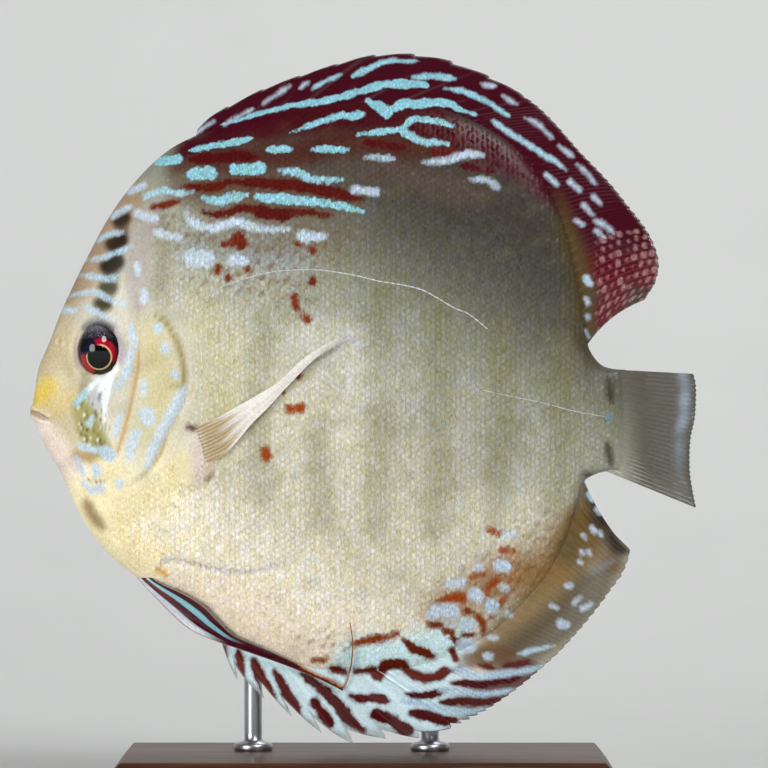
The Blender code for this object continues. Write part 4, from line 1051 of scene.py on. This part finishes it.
def on_flank(x, z, table):
    """A grid of the left side read at side-view places."""
    stations = LEFT[:, SIDE_ROWS // 2, 0]
    i = np.clip(np.interp(x, stations, np.arange(len(stations))), 0, len(stations) - 1.001)
    top, bottom = read(TOP, x), read(BOTTOM, x)
    share = np.clip((2 * z - top - bottom) / (top - bottom), -1.0, 1.0)
    j = np.clip((np.arcsin(share) / math.pi + 0.5) * (SIDE_ROWS - 1), 0, SIDE_ROWS - 1.001)
    i0, j0 = i.astype(int), j.astype(int)
    a, b = (i - i0)[:, None], (j - j0)[:, None]
    return ((1 - a) * (1 - b) * table[i0, j0] + a * (1 - b) * table[i0 + 1, j0]
            + (1 - a) * b * table[i0, j0 + 1] + a * b * table[i0 + 1, j0 + 1])


def girth():
    """How far each row of the left side lies from the belly, measured over the skin."""
    steps = np.linalg.norm(np.diff(LEFT, axis=1), axis=2)
    return np.concatenate([np.zeros((len(LEFT), 1)), np.cumsum(steps, axis=1)], axis=1)


def build_scales(name, side, material):
    x, z, grown = scale_roots()
    count, corners = len(x), len(SCALE_PLAN) + 2
    centre = on_flank(x, z, LEFT)
    normal_grid = surface_normals(LEFT)
    normal = on_flank(x, z, normal_grid)
    normal *= -np.sign(normal[:, 1])[:, None]
    normal /= np.linalg.norm(normal, axis=1)[:, None]
    normal += RNG.normal(0.0, math.radians(SCALE_TILT), normal.shape) * grown[:, None]
    normal /= np.linalg.norm(normal, axis=1)[:, None]
    lean = np.radians(6.0 * ripple(x, z, 20.0, 6) + 8.0 * z / 60.0)
    lie = np.stack([np.cos(lean), np.zeros(count), -np.sin(lean)], axis=1)
    lie -= normal * (lie * normal).sum(1)[:, None]
    lie /= np.linalg.norm(lie, axis=1)[:, None]
    up = np.cross(lie, normal)
    up *= np.sign(up[:, 2])[:, None]
    edge = np.minimum(read(TOP, x) - z, z - read(BOTTOM, x))
    size = (0.72 + 0.28 * soft_step(0.0, 14.0, edge)) * (0.8 + 0.2 * grown) * RNG.uniform(0.94, 1.08, count)

    plan = np.concatenate([SCALE_PLAN, [(SCALE_CROWN[0], 0.0), (SCALE_KEEL[0], 0.0)]])
    rise = np.concatenate([SCALE_RISE, [SCALE_CROWN[1], SCALE_KEEL[1]]])
    tint = np.concatenate([SCALE_TINT, [SCALE_CROWN[2], SCALE_KEEL[2]]])
    out = (plan[None, :, 0] * SCALE_LENGTH * size[:, None])[..., None] * lie[:, None]
    out = out + (plan[None, :, 1] * SCALE_HEIGHT * 1.12 * size[:, None])[..., None] * up[:, None]
    out = out + (rise[None, :] * (size * (0.45 + 0.55 * grown))[:, None])[..., None] * normal[:, None]
    corner = centre[:, None] + out
    if side > 0:
        corner = mirror_image(corner)

    sample = centre[:, None] + 0.7 * out
    layers = markings(sample.reshape(-1, 3))
    chance = RNG.uniform(0.0, 1.0, (count, 2))
    olive_to_grey = np.array([-0.08, 0.0, 0.16])
    tinted = 1.0 + (chance[:, :1] - 0.5) * olive_to_grey
    layers["ground"] = (layers["ground"].reshape(count, corners, 3) * tinted[:, None]).reshape(-1, 3)
    layers["shade"] = (0.5 * tint[None, :] * (0.93 + 0.14 * chance[:, 1:])).ravel()

    ring = len(SCALE_PLAN)
    faces = []
    for k in range(ring):
        after = (k + 1) % ring
        faces.append((k, after, ring))
        faces.append((after, k, ring + 1))
    faces = np.array(faces)
    if side < 0:
        faces = faces[:, ::-1]
    piece = plates(name, corner, faces, layers, material)
    across = girth()
    spread = on_flank(x, z, np.stack([LEFT[..., 0], across, across], axis=-1))
    root_u = 0.02 + 0.96 * (spread[:, 0] - LEFT[0, 0, 0]) / (LEFT[-1, 0, 0] - LEFT[0, 0, 0])
    root_v = 0.02 + 0.96 * spread[:, 1] / across.max()
    patch = BAKE_PATCH * plan / 2
    write_bake_map(piece.data, faces, np.stack([root_u, root_v], axis=1)[:, None] + patch[None])
    return settle(piece, "flank_skin")


def plates(name, corner, faces, layers, material):
    """Many small closed plates as one mesh, all with the same faces."""
    count, corners = corner.shape[:2]
    index = (np.arange(count)[:, None, None] * corners + faces[None]).reshape(-1, 3)
    mesh = bpy.data.meshes.new(name)
    mesh.vertices.add(count * corners)
    mesh.vertices.foreach_set("co", to_metres(corner).ravel())
    mesh.loops.add(index.size)
    mesh.loops.foreach_set("vertex_index", index.ravel().astype(np.int32))
    mesh.polygons.add(len(index))
    mesh.polygons.foreach_set("loop_start", np.arange(0, index.size, 3, dtype=np.int32))
    mesh.update(calc_edges=True)
    mesh.validate()
    write_layers(mesh, layers)
    mesh.shade_smooth()
    mesh.set_sharp_from_angle(angle=math.radians(50.0))
    mesh.materials.append(material)
    piece = bpy.data.objects.new(name, mesh)
    bpy.context.scene.collection.objects.link(piece)
    return piece


def write_bake_map(mesh, faces, corner_uv):
    layer = mesh.uv_layers.new(name="OFBake")
    values = corner_uv[:, faces.ravel()]
    layer.data.foreach_set("uv", np.ascontiguousarray(values, np.float32).ravel())


# Strands: the pored line of the flank, and the pelvic fin's long first ray

LINE_SAMPLES = 260
FILAMENT_SAMPLES = 160


def tube(name, path, radius, material, sides=10):
    """A round strand along a path, closed to a point at both ends."""
    run = np.gradient(path, axis=0)
    run /= np.linalg.norm(run, axis=1)[:, None]
    out = np.cross(run, (0.0, 1.0, 0.0))
    out /= np.linalg.norm(out, axis=1)[:, None]
    over = np.cross(run, out)
    turn = np.linspace(0.0, 2 * math.pi, sides + 1)[None, :, None]
    radius = radius.copy()
    radius[0], radius[-1] = 0.0, 0.0
    ring = np.cos(turn) * out[:, None] + np.sin(turn) * over[:, None]
    return grid_piece(name, path[:, None] + radius[:, None, None] * ring, {}, material)


def strand_material(name, light, dark):
    paint = Paint(name)
    fleck = paint.noise(0.5, 2.0).step(0.35, 0.7)
    return paint.shine(colour=paint.mix(fleck, hue(light), hue(dark)), roughness=0.28 + fleck * 0.1,
                       normal=paint.bump(fleck, 0.03, 0.4), coat=0.6, coat_roughness=0.08)


def build_lateral_lines():
    material = strand_material("pored line", "#c6c9cc", "#a4a79c")
    for part, (points, radius) in enumerate(zip(LATERAL_LINE, (0.17, 0.11))):
        curve = along(smooth(from_photo(points, 12.0)), np.linspace(0.0, 1.0, LINE_SAMPLES))
        rest = on_flank(curve[:, 0], curve[:, 1], LEFT)
        rest[:, 1] -= 0.02
        beads = radius * (1 + 0.3 * np.sin(np.arange(LINE_SAMPLES) * 1.1))
        for name, side in SIDES:
            path = rest if side < 0 else mirror_image(rest)
            settle(tube("pored_line_%s_%d" % (name, part + 1), path, beads, material), "flank_skin")


def build_filaments():
    material = strand_material("long ray", "#b9753a", "#8c4a20")
    curve = along(smooth(from_photo(FILAMENT, 5.0)), np.linspace(0.0, 1.0, FILAMENT_SAMPLES))
    skin = half_thickness(curve[:, 0], curve[:, 1])
    y = np.maximum(skin, 0.7) + 0.75
    radius = 0.34 - 0.22 * np.linspace(0.0, 1.0, FILAMENT_SAMPLES)
    for name, side in SIDES:
        path = np.stack([curve[:, 0], side * y, curve[:, 1]], axis=1)
        settle(tube("pelvic_filament_" + name, path, radius, material), "striped_fin")


# Fins

SPINY_RAYS = {"dorsal": 9, "anal": 8}
SOFT_RAYS = {"dorsal": 30, "anal": 29}
TAIL_RAYS = 14
FIN_ROWS = 40
DORSAL_COLUMNS = 760
ANAL_COLUMNS = 700
TAIL_COLUMNS = 330
FIN_WAVE = 0.25
WEB_HALF = (0.62, 0.10)
RAY_RISE = (0.24, 0.07)
NET_ROW = 2.0
NET_COLUMN = 1.7
NET_SPOT = (0.25, 0.75)


def ray_crests(phase, down, branch):
    """Rounded crests of rays; those that branch split in two towards the edge."""
    single = ridge((phase % 1.0) - 0.5, 0.17)
    double = ridge(((2 * phase) % 1.0) - 0.5, 0.22)
    share = branch * soft_step(0.08, 0.35, down)
    return single * (1 - share) + double * share


def split_corners(piece):
    """Gives each corner face of a fin a middle point, so that its sides share only their border."""
    mesh = piece.data
    corners = np.empty(len(mesh.loops), np.int32)
    mesh.loops.foreach_get("vertex_index", corners)
    sizes = np.empty(len(mesh.polygons), np.int32)
    mesh.polygons.foreach_get("loop_total", sizes)
    lonely = np.bincount(corners)[corners] == 2
    chosen = np.zeros(len(mesh.polygons), bool)
    chosen[np.repeat(np.arange(len(sizes)), sizes)[lonely]] = True
    select_only(piece)
    clear_choice("FACE")
    mesh.polygons.foreach_set("select", chosen)
    bpy.ops.object.mode_set(mode="EDIT")
    bpy.ops.mesh.poke()
    bpy.ops.object.mode_set(mode="OBJECT")


def web(name, centre_line, half, layers, material):
    """A closed fin over side-view places, its two faces meeting at the borders."""
    half[:, 0], half[:, -1], half[0], half[-1] = 0.0, 0.0, 0.0, 0.0
    near, far = centre_line.copy(), centre_line.copy()
    near[..., 1] -= half
    far[..., 1] += half
    places = np.concatenate([near, far[::-1][1:]], axis=0)
    doubled = {key: np.concatenate([values, values[::-1][1:]], axis=0) for key, values in layers.items()}
    piece = grid_piece(name, places, doubled, material)
    split_corners(piece)
    return piece


def fan(root, edge, lean, bow, across, down, notch):
    base = along(root, across ** lean)
    tip = along(edge, across)
    length = np.linalg.norm(tip - base, axis=1)
    reach = 1.0 - notch / np.maximum(length, 1.0)
    run = (tip - base) * reach[:, None]
    side = np.stack([run[:, 1], -run[:, 0]], axis=-1) / np.maximum(length, 1.0)[:, None]
    v = down[:, None, None]
    places = base + run * v + side * (bow * across ** 3)[:, None] * 4 * v * (1 - v)
    return places, length


def root_on(line, start_x, end_x, out):
    moved = offset(line, out)
    inside = (moved[:, 0] >= start_x) & (moved[:, 0] <= end_x)
    return moved[inside]


def ray_phase(across, split, spiny, soft):
    return np.where(across < split, across / split * spiny, spiny + (across - split) / (1 - split) * soft)


def down_rows(count):
    """Rows from the root to the edge, with a last short one that rounds the edge."""
    return np.concatenate([np.linspace(0.0, 0.985, count - 1), [1.0]])


def dorsal_notch(across):
    """Depth of the notches between the ray tips along the dorsal fin, in millimetres."""
    return 0.8 - 0.5 * soft_step(0.5, 0.62, across)


def anal_notch(across):
    """The same for the anal fin, whose front spines stand far out of the web."""
    return np.maximum(np.minimum(8.2 * (1 - 1.65 * across), 2.5 + 30.0 * across), 0.35)


def middle_fin(kind, root, edge, lean, bow, split, columns, notch_at):
    """The whole dorsal or anal fin on the middle plane."""
    across = np.linspace(0.0, 1.0, columns)
    down = down_rows(FIN_ROWS)
    phase = ray_phase(across, split, SPINY_RAYS[kind], SOFT_RAYS[kind])
    tooth = np.interp(phase % 1.0, [0.0, 0.12, 0.5, 0.86, 0.97, 1.0], [1.0, 0.88, 0.38, 0.0, 0.5, 1.0])
    side_view, length = fan(root, edge, lean, bow, across, down, notch_at(across) * tooth)
    v = down[:, None]
    branch = soft_step(split, split + 0.04, across)[None, :]
    crest = ray_crests(phase[None, :], v, branch)
    rise = (RAY_RISE[0] + (RAY_RISE[1] - RAY_RISE[0]) * v) * (1.0 - 0.65 * branch)
    half = WEB_HALF[0] + (WEB_HALF[1] - WEB_HALF[0]) * np.sqrt(v) + rise * crest
    y = FIN_WAVE * v ** 1.5 * np.sin(across * 40.0)[None, :] * soft_step(0.0, 0.1, across)[None, :]
    places = np.stack([side_view[..., 0], y, side_view[..., 1]], axis=-1)
    layers = markings(places)
    layers["ray"] = crest
    inward = length[None, :] * (1 - v)
    return places, half, layers, inward, across, phase


def add_spot_net(layers, phase, inward, share):
    """Pale spots between the rear rays, in staggered rows, that leave a net of ground colour."""
    column = np.rint(phase).astype(int)[None, :]
    row = inward / NET_ROW + 0.5 * (column % 2)
    size = np.random.default_rng(11).uniform(*NET_SPOT, (60, 60))[column % 60, np.rint(row).astype(int) % 60]
    sideways = (phase - np.rint(phase))[None, :] * NET_COLUMN
    gap = np.hypot(sideways, (row - np.rint(row)) * NET_ROW) - size + 4.0 * (1 - share)
    nearer = gap < layers["turquoise"]
    layers["turquoise"] = np.where(nearer, gap, layers["turquoise"])
    layers["pale"] = np.where(nearer, 0.95, layers["pale"])


def build_dorsal(material):
    root = root_on(TOP, *DORSAL_ROOT, -1.4)
    places, half, layers, inward, _, phase = middle_fin(
        "dorsal", root, smooth(DORSAL_EDGE), DORSAL_LEAN, DORSAL_BOW, DORSAL_SPLIT,
        DORSAL_COLUMNS, dorsal_notch)
    px, py = photo_place(*np.moveaxis(places, -1, 0))
    add_spot_net(layers, phase, inward, soft_step(578.0, 600.0, px) * soft_step(212.0, 232.0, py))
    wash_over(layers["ground"], soft_step(285.0, 225.0, py), "#400517")
    ray_bases = soft_step(0.34, 0.08, 1 - inward / inward[0]) * soft_step(545.0, 575.0, px)
    wash_over(layers["ground"], 0.9 * ray_bases, "#5a4a2a")
    layers["clear"] = 0.55 * soft_step(1.2, 0.0, inward) * np.ones_like(half)
    piece = web("dorsal_fin", places, half, layers, material)
    return settle(piece, "striped_fin", "dorsal_fin_spiny", "dorsal_fin_soft")


def build_anal(material):
    root = root_on(BOTTOM, *ANAL_ROOT, 1.4)
    places, half, layers, inward, across, _ = middle_fin(
        "anal", root, smooth(ANAL_EDGE), ANAL_LEAN, ANAL_BOW, ANAL_SPLIT, ANAL_COLUMNS, anal_notch)
    rear = soft_step(0.45, 0.75, across)[None, :]
    front = soft_step(0.5, 0.3, across)[None, :]
    px, py = photo_place(*np.moveaxis(places, -1, 0))
    striped = soft_step(12.0, -12.0, 0.5 * (px - 440) - 0.85 * (py - 640)) * soft_step(474.0, 444.0, px)
    wash_over(layers["ground"], striped, "#cfe9f1")
    tips = soft_step(4.2, 0.3, inward) * front
    wash_over(layers["ground"], 0.65 * tips, "#8d8c86")
    layers["clear"] = 0.5 * tips + 0.06 * rear + 0.25 * soft_step(1.4, 0.0, inward)
    piece = web("anal_fin", places, half, layers, material)
    return settle(piece, "brown_fin", "anal_fin_spiny", "anal_fin_soft")


def build_tail(material):
    across = np.linspace(0.0, 1.0, TAIL_COLUMNS)
    down = down_rows(FIN_ROWS)
    high, low = TOP[-1, 1] + 0.15, BOTTOM[-1, 1] - 0.05
    x = TAIL_ROOT_X - 1.0
    root = np.array([(x, high), (x, (high + low) / 2), (x, low)])
    phase = across * TAIL_RAYS
    notch = 0.25 * (1 - ridge((2 * phase) % 1.0 - 0.5, 0.3))
    side_view, length = fan(root, smooth(TAIL_EDGE), 1.0, 0.0, across, down, notch)
    v = down[:, None]
    crest = ray_crests(phase[None, :], v, 1.0)
    half = 0.55 - 0.45 * np.sqrt(v) + (0.11 - 0.06 * v) * crest
    y = 0.5 * v ** 2 * np.sin(across * 9.0)[None, :]
    places = np.stack([side_view[..., 0], y, side_view[..., 1]], axis=-1)
    layers = markings(places)
    px, _ = photo_place(*np.moveaxis(places, -1, 0))
    wash_over(layers["ground"], soft_step(616, 650, px), "#5a564c")
    inward = length[None, :] * (1 - v)
    band = ridge(inward - 2.6, 1.3) * soft_step(1.0, 0.2, across)[None, :]
    patchy = 0.45 + 0.25 * ripple(places[..., 0], places[..., 2], 1.6, 8)
    wash_over(layers["ground"], patchy * band, "#a9bcd0")
    wash_over(layers["ground"], 0.6 * soft_step(1.2, 0.2, inward), "#3c3a38")
    layers["ray"] = crest
    layers["clear"] = 0.28 * soft_step(618, 660, px)
    piece = web("tail_fin_web", places, half, layers, material)
    return settle(piece, "clear_fin", "tail_fin")


def side_web(name, upper, lower, rays, lift, out, colours, side, columns, rows, material, replaced, slot):
    """A fin folded along the flank; colours gives its layers from across and down."""
    across = np.linspace(0.0, 1.0, columns)
    down = down_rows(rows)
    first = along(smooth(upper), down)[:, None]
    second = along(smooth(lower), down)[:, None]
    u = across[None, :, None]
    side_view = first * (1 - u) + second * u
    v = down[:, None]
    crest = ray_crests((across * rays)[None, :], v, 1.0)
    half = 0.26 - 0.19 * np.sqrt(v) + (0.17 - 0.11 * v) * crest
    skin = half_thickness(side_view[..., 0], side_view[..., 1])
    middle = skin + out + 0.5 + lift * v - 1.1 * soft_step(0.10, 0.0, v)
    places = np.stack([side_view[..., 0], -middle, side_view[..., 1]], axis=-1)
    layers = colours(places, across[None, :] * np.ones_like(half), v * np.ones_like(half), crest)
    if side > 0:
        places = mirror_image(places)
    piece = web(name, places, half, layers, material)
    return settle(piece, slot, replaced)


def pectoral_colours(places, across, down, crest):
    """Amber rays with clear web at the root, then white, and clear again at the tip."""
    layers = markings(places)
    layers["turquoise"] += 9.0
    layers["red"] += 9.0
    whiter = soft_step(0.10, 0.28, down + 0.06 * np.sin(across * 21.0))[..., None]
    ray_tint = hue("#a8701c") + whiter * (hue("#ffffff") - hue("#a8701c"))
    web_tint = hue("#e8dcb4") + whiter * (hue("#f6f4ec") - hue("#e8dcb4"))
    layers["ground"] = web_tint + crest[..., None] * (ray_tint - web_tint)
    # Painted shade: the web is greyed along two fold lines, away from the rays
    fold_shade = ridge(across - 0.42 - 0.2 * down, 0.10) + ridge(across - 0.78, 0.08)
    wash_over(layers["ground"], 0.28 * np.clip(fold_shade, 0, 1) * (1 - crest), "#b9b09c")
    layers["ray"] = crest
    layers["clear"] = 0.62 - 0.54 * soft_step(0.1, 0.36, down) + 0.40 * soft_step(0.8, 1.0, down)
    return layers


def pelvic_colours(places, across, down, crest):
    """Turquoise and wine bands run along the fin, white on its lower edge."""
    layers = markings(places)
    layers["turquoise"] += 9.0
    layers["red"] += 9.0
    colour = np.tile(hue("#52081f"), across.shape + (1,))
    bands = [
        ("#9a8e84", 0.0, 0.09, 0.60), ("#480718", 0.09, 0.27, 0.46), ("#98d8e8", 0.28, 0.47, 0.46),
        ("#8a2a1c", 0.48, 0.60, 0.14), ("#e4eefa", 0.74, 1.0, 0.40), ("#d0a4aa", 0.95, 1.0, 0.85),
    ]
    for shade, start, end, last in bands:
        cover = soft_step(start - 0.03, start + 0.03, across) * soft_step(end + 0.03, end - 0.03, across)
        cover = cover * soft_step(last + 0.08, last - 0.06, down)
        wash_over(colour, cover, shade)
    wash_over(colour, soft_step(0.62, 0.95, down) * 0.8, "#8a3a2a")
    layers["ground"] = colour
    layers["ray"] = 0.4 * crest
    layers["clear"] = 0.35 * soft_step(0.08, 0.0, across) + 0.15 * soft_step(0.9, 1.0, across)
    return layers


def build_side_fins(material):
    for name, side in SIDES:
        side_web("pectoral_web_" + name, PECTORAL_TOP, PECTORAL_LOW, 11, 1.6, 0.3, pectoral_colours, side,
                 160, 70, material, "pectoral_fin_" + name, "pale_fin")
        side_web("pelvic_web_" + name, PELVIC_TOP, PELVIC_LOW, 6, 0.3, 0.55, pelvic_colours, side,
                 110, 80, material, "pelvic_fin_" + name, "striped_fin")


# Eyes

def eye_material():
    """Black pupil in a gold ring, crimson iris clouded navy above and black below, dusky upper lid."""
    paint = Paint("eye")
    spot = paint.places((1, 0, 1), (-PUPIL_AT[0], 0.0, -(PUPIL_AT[1] + MIDDLE_HEIGHT)))
    radius = paint.node("ShaderNodeVectorMath", {"operation": "LENGTH"}, {0: spot}, output="Value")

    def towards(x, z):
        return paint.node("ShaderNodeVectorMath", {"operation": "DOT_PRODUCT"}, {0: spot, 1: (x, 0.0, z)},
                          output="Value")

    fibres = paint.noise(0.45, 3.0)
    dots = paint.noise(0.32, 1.0).step(0.60, 0.68)
    iris = paint.mix(towards(0.6, 0.8).step(-2.6, 2.0), hue("#a01228"), hue("#b8042e"))
    iris = paint.mix(towards(-0.8, -0.6).step(1.6, 3.2) * 0.5, iris, hue("#c03430"))
    iris = paint.mix(fibres.step(0.40, 0.70) * 0.45, iris, hue("#4c0210"))
    iris = paint.mix((towards(-0.72, 0.69) / radius + fibres * 0.2).step(0.82, 1.0), iris, hue("#12122c"))
    iris = paint.mix((towards(0.42, -0.91) / radius + fibres * 0.2).step(0.68, 0.92), iris, hue("#080506"))
    iris = paint.mix((radius + fibres * 0.5).step(4.1, 4.7), iris, hue("#140c10"))
    lid = paint.mix(towards(0.0, 1.0).step(5.0, 7.4), hue("#2c2a33"), hue("#77727c"))
    lid = paint.mix(dots * 0.5, lid, hue("#a8a8b0"))
    iris = paint.mix((towards(0.0, 1.0) + radius * 0.35).step(5.6, 6.2), iris, lid)
    gold = (1.0 - (towards(-0.62, 0.78) / radius).step(0.6, 0.9)) * radius.step(2.94, 2.84)
    iris = paint.mix(gold, iris, paint.mix(fibres, hue("#e6c890"), hue("#c98f50")))
    colour = paint.mix((radius + towards(0.7, 0.7) * 0.03).step(2.62, 2.54), iris, hue("#020203"))
    return paint.shine(colour=colour, roughness=0.45 + fibres * 0.1, normal=paint.bump(fibres, 0.04, 0.4),
                       coat=0.8, coat_roughness=0.01, specular=0.0)


def build_eye(name, side, material):
    """A ball set in its oval socket, its clear front bulging a little over the pupil."""
    skin = float(half_thickness(np.array(EYE_AT[0]), np.array(EYE_AT[1])))
    bpy.ops.object.select_all(action="DESELECT")
    bpy.ops.mesh.primitive_uv_sphere_add(segments=72, ring_count=48, radius=1.0)
    piece = bpy.context.object
    piece.name = "eyeball_" + name
    mesh = piece.data
    flat = np.empty(len(mesh.vertices) * 3)
    mesh.vertices.foreach_get("co", flat)
    ball = flat.reshape(-1, 3)
    bulge = 0.10 * ridge(np.hypot(ball[:, 0], ball[:, 1]), 0.62) * (ball[:, 2] > 0)
    x = EYE_AT[0] + ball[:, 0] * EYE_RADII[0]
    z = EYE_AT[1] + ball[:, 1] * EYE_RADII[1]
    y = side * (skin + EYE_PROUD - EYE_BULGE + (ball[:, 2] + bulge) * EYE_BULGE)
    mesh.vertices.foreach_set("co", to_metres(np.stack([x, y, z], axis=1)).ravel())
    select_only(piece)
    bpy.ops.object.mode_set(mode="EDIT")
    bpy.ops.mesh.select_all(action="SELECT")
    bpy.ops.mesh.normals_make_consistent(inside=False)
    bpy.ops.object.mode_set(mode="OBJECT")
    bpy.ops.object.shade_smooth()
    mesh.materials.append(material)
    return settle(piece, "eye", "eye_" + name)


# Stand

def wood_material():
    paint = Paint("dark varnished wood")
    grain = paint.noise(3.0, 5.0, (0.10, 1.0, 1.0), 0.6)
    rings = paint.node("ShaderNodeTexWave",
                       {"wave_type": "BANDS", "bands_direction": "Y", "wave_profile": "SAW"},
                       {"Vector": paint.places((0.03, 0.22, 0.22)), "Scale": 1.0, "Distortion": 5.0,
                        "Detail": 3.0, "Detail Scale": 1.4}, output="Fac")
    pores = paint.noise(0.4, 2.0, (0.06, 1.0, 1.0))
    colour = paint.mix(rings, hue("#3a2114"), hue("#5f3a22"))
    colour = paint.mix(grain.step(0.35, 0.7) * 0.6, colour, hue("#2a170e"))
    colour = paint.mix(pores.step(0.62, 0.72) * 0.5, colour, hue("#170c07"))
    return paint.shine(colour=colour, roughness=0.40 + grain * 0.14, normal=paint.bump(pores, 0.05, 0.3),
                       coat=0.2, coat_roughness=0.25, specular=0.2)


def steel_material():
    paint = Paint("brushed steel")
    streak = paint.noise(0.25, 3.0, (1.0, 1.0, 0.03))
    colour = paint.mix(streak, hue("#9a9b9e"), hue("#c4c5c8"))
    return paint.shine(colour=colour, metallic=1.0, roughness=0.24 + streak * 0.14,
                       normal=paint.bump(streak, 0.01, 0.3))


def build_base(material):
    """A block with a cove cut round its upper edge and a fine step below the top."""
    bpy.ops.object.select_all(action="DESELECT")
    bpy.ops.mesh.primitive_cube_add(size=1.0, location=(0.0, 0.0, BASE_HEIGHT * MM / 2))
    piece = bpy.context.object
    piece.name = "stand_block"
    piece.scale = (BASE_LENGTH * MM, BASE_WIDTH * MM, BASE_HEIGHT * MM)
    bpy.ops.object.transform_apply(location=True, rotation=True, scale=True)
    clear_choice("FACE")
    for face in piece.data.polygons:
        face.select = face.normal.z > 0.5
    bpy.ops.object.mode_set(mode="EDIT")
    bpy.ops.transform.translate(value=(0.0, 0.0, -MOULDING_DROP * MM))
    bpy.ops.mesh.inset(thickness=MOULDING_STEP * MM)
    bpy.ops.mesh.extrude_region_move(TRANSFORM_OT_translate={"value": (0.0, 0.0, MOULDING_STEP * MM)})
    bpy.ops.mesh.extrude_region_move(TRANSFORM_OT_translate={"value": (0.0, 0.0, MOULDING_RISE * MM)})
    bpy.ops.transform.resize(value=(1 - MOULDING_INSET / BASE_LENGTH, 1 - MOULDING_INSET / BASE_WIDTH, 1.0))
    bpy.ops.object.mode_set(mode="OBJECT")
    edge = piece.modifiers.new("soft edges", "BEVEL")
    edge.width = MOULDING_BEVEL * MM
    edge.segments = 3
    edge.limit_method = "ANGLE"
    edge.angle_limit = math.radians(20.0)
    bpy.ops.object.modifier_apply(modifier=edge.name)
    bpy.ops.object.shade_smooth_by_angle(angle=math.radians(35.0))
    piece.data.materials.append(material)
    return settle(piece, "stand_wood", "stand_base")


def build_rod(name, x, y, material):
    """A turned rod: a collar on the base, a plain shaft, and a rounded cup against the flank."""
    low = BASE_HEIGHT - MIDDLE_HEIGHT
    heights = np.linspace(-60.0, 0.0, 1200)
    top = float(np.interp(y - 0.4, half_thickness(np.full(1200, x), heights), heights)) - 0.4
    profile = [(0.0, 0.0), (4.2, 0.0), (4.4, 0.25), (4.4, 1.3), (4.1, 1.7), (2.4, 2.1), (2.0, 2.6)]
    profile += [(2.0, t) for t in np.linspace(4.0, top - low - 0.6, 12)]
    profile += [(1.7, top - low - 0.15), (1.2, top - low), (0.0, top - low)]
    turns = np.linspace(0.0, 2 * math.pi, 49)
    places = np.array([[(x + r * math.cos(a), y + r * math.sin(a), low + h) for a in turns]
                       for r, h in profile])
    shape = grid_piece(name.replace("stand_rod", "stand_turned_rod"), places, {}, material)
    select_only(shape)
    bpy.ops.object.shade_smooth_by_angle(angle=math.radians(40.0))
    return settle(shape, "stand_steel", name)


# Studio

def build_studio():
    bpy.ops.object.select_all(action="DESELECT")
    bpy.ops.mesh.primitive_plane_add(size=1.0)
    floor = bpy.context.object
    floor.name = "studio_floor"
    floor.scale = (3.0, 2.4, 1.0)
    floor.location = (0.0, -0.55, 0.0)
    bpy.ops.object.transform_apply(location=True, rotation=True, scale=True)
    clear_choice("EDGE")
    points = floor.data.vertices
    for edge in floor.data.edges:
        edge.select = all(points[i].co.y > 0.6 for i in edge.vertices)
    bpy.ops.object.mode_set(mode="EDIT")
    bpy.ops.mesh.extrude_region_move(TRANSFORM_OT_translate={"value": (0.0, 0.0, 1.6)})
    bpy.ops.object.mode_set(mode="OBJECT")
    bend = floor.modifiers.new("cove", "BEVEL")
    bend.width = 0.45
    bend.segments = 24
    bpy.ops.object.modifier_apply(modifier=bend.name)
    bpy.ops.object.shade_smooth()
    paint = Paint("pale floor")
    grain = paint.noise(40.0, 3.0)
    behind = paint.node("ShaderNodeNewGeometry", output="Backfacing")
    colour = paint.mix(grain, hue("#d6d7d5"), hue("#dcdddb"))
    floor.data.materials.append(paint.shine(colour=colour, roughness=0.8, alpha=1.0 - behind))

    world = bpy.data.worlds.new("studio")
    bpy.context.scene.world = world
    world.use_nodes = True
    world.node_tree.nodes["Background"].inputs["Color"].default_value = (0.90, 0.93, 1.0, 1.0)
    world.node_tree.nodes["Background"].inputs["Strength"].default_value = 0.14
    middle = Vector((0.0, 0.0, MIDDLE_HEIGHT * MM))
    lamps = [
        ("key", (0.62, -0.95, 1.05), 0.6, 12.8),
        ("fill", (-0.85, -1.0, 0.24), 0.7, 10.0),
        ("sparkle", (0.325, -0.83, 0.31), 0.07, 0.35),
        ("back", (0.1, 0.55, 0.9), 0.5, 2.5),
    ]
    for name, place, size, power in lamps:
        light = bpy.data.lights.new(name, "AREA")
        light.shape = "DISK"
        light.size = size
        light.energy = power
        lamp = bpy.data.objects.new(name, light)
        lamp.location = place
        lamp.rotation_euler = (middle - Vector(place)).to_track_quat("-Z", "Y").to_euler()
        bpy.context.scene.collection.objects.link(lamp)


def build_camera():
    """Level with the photograph's middle, square to the left flank."""
    lens = bpy.data.cameras.new("camera")
    lens.sensor_width = SENSOR
    lens.lens = SENSOR * CAMERA_DISTANCE / (2 * PHOTO_MIDDLE * PIXEL)
    lens.clip_end = 20.0
    camera = bpy.data.objects.new("camera", lens)
    camera.location = (MIDDLE_X * MM, -CAMERA_DISTANCE * MM, (MIDDLE_HEIGHT + MIDDLE_Z) * MM)
    camera.rotation_euler = (math.pi / 2, 0.0, 0.0)
    bpy.context.scene.collection.objects.link(camera)
    bpy.context.scene.camera = camera


def main():
    build_camera()
    build_studio()
    build_skin(skin_material())
    scales = scale_material()
    for name, side in SIDES:
        build_scales("scales_" + name, side, scales)
    fins = fin_material("wet fin")
    build_dorsal(fins)
    build_anal(fins)
    build_tail(fins)
    build_side_fins(fins)
    build_lateral_lines()
    build_filaments()
    eye = eye_material()
    for name, side in SIDES:
        build_eye(name, side, eye)
    build_base(wood_material())
    steel = steel_material()
    for name, (x, y) in RODS.items():
        build_rod(name, x, y, steel)
    bpy.context.scene.view_settings.view_transform = "Standard"


main()
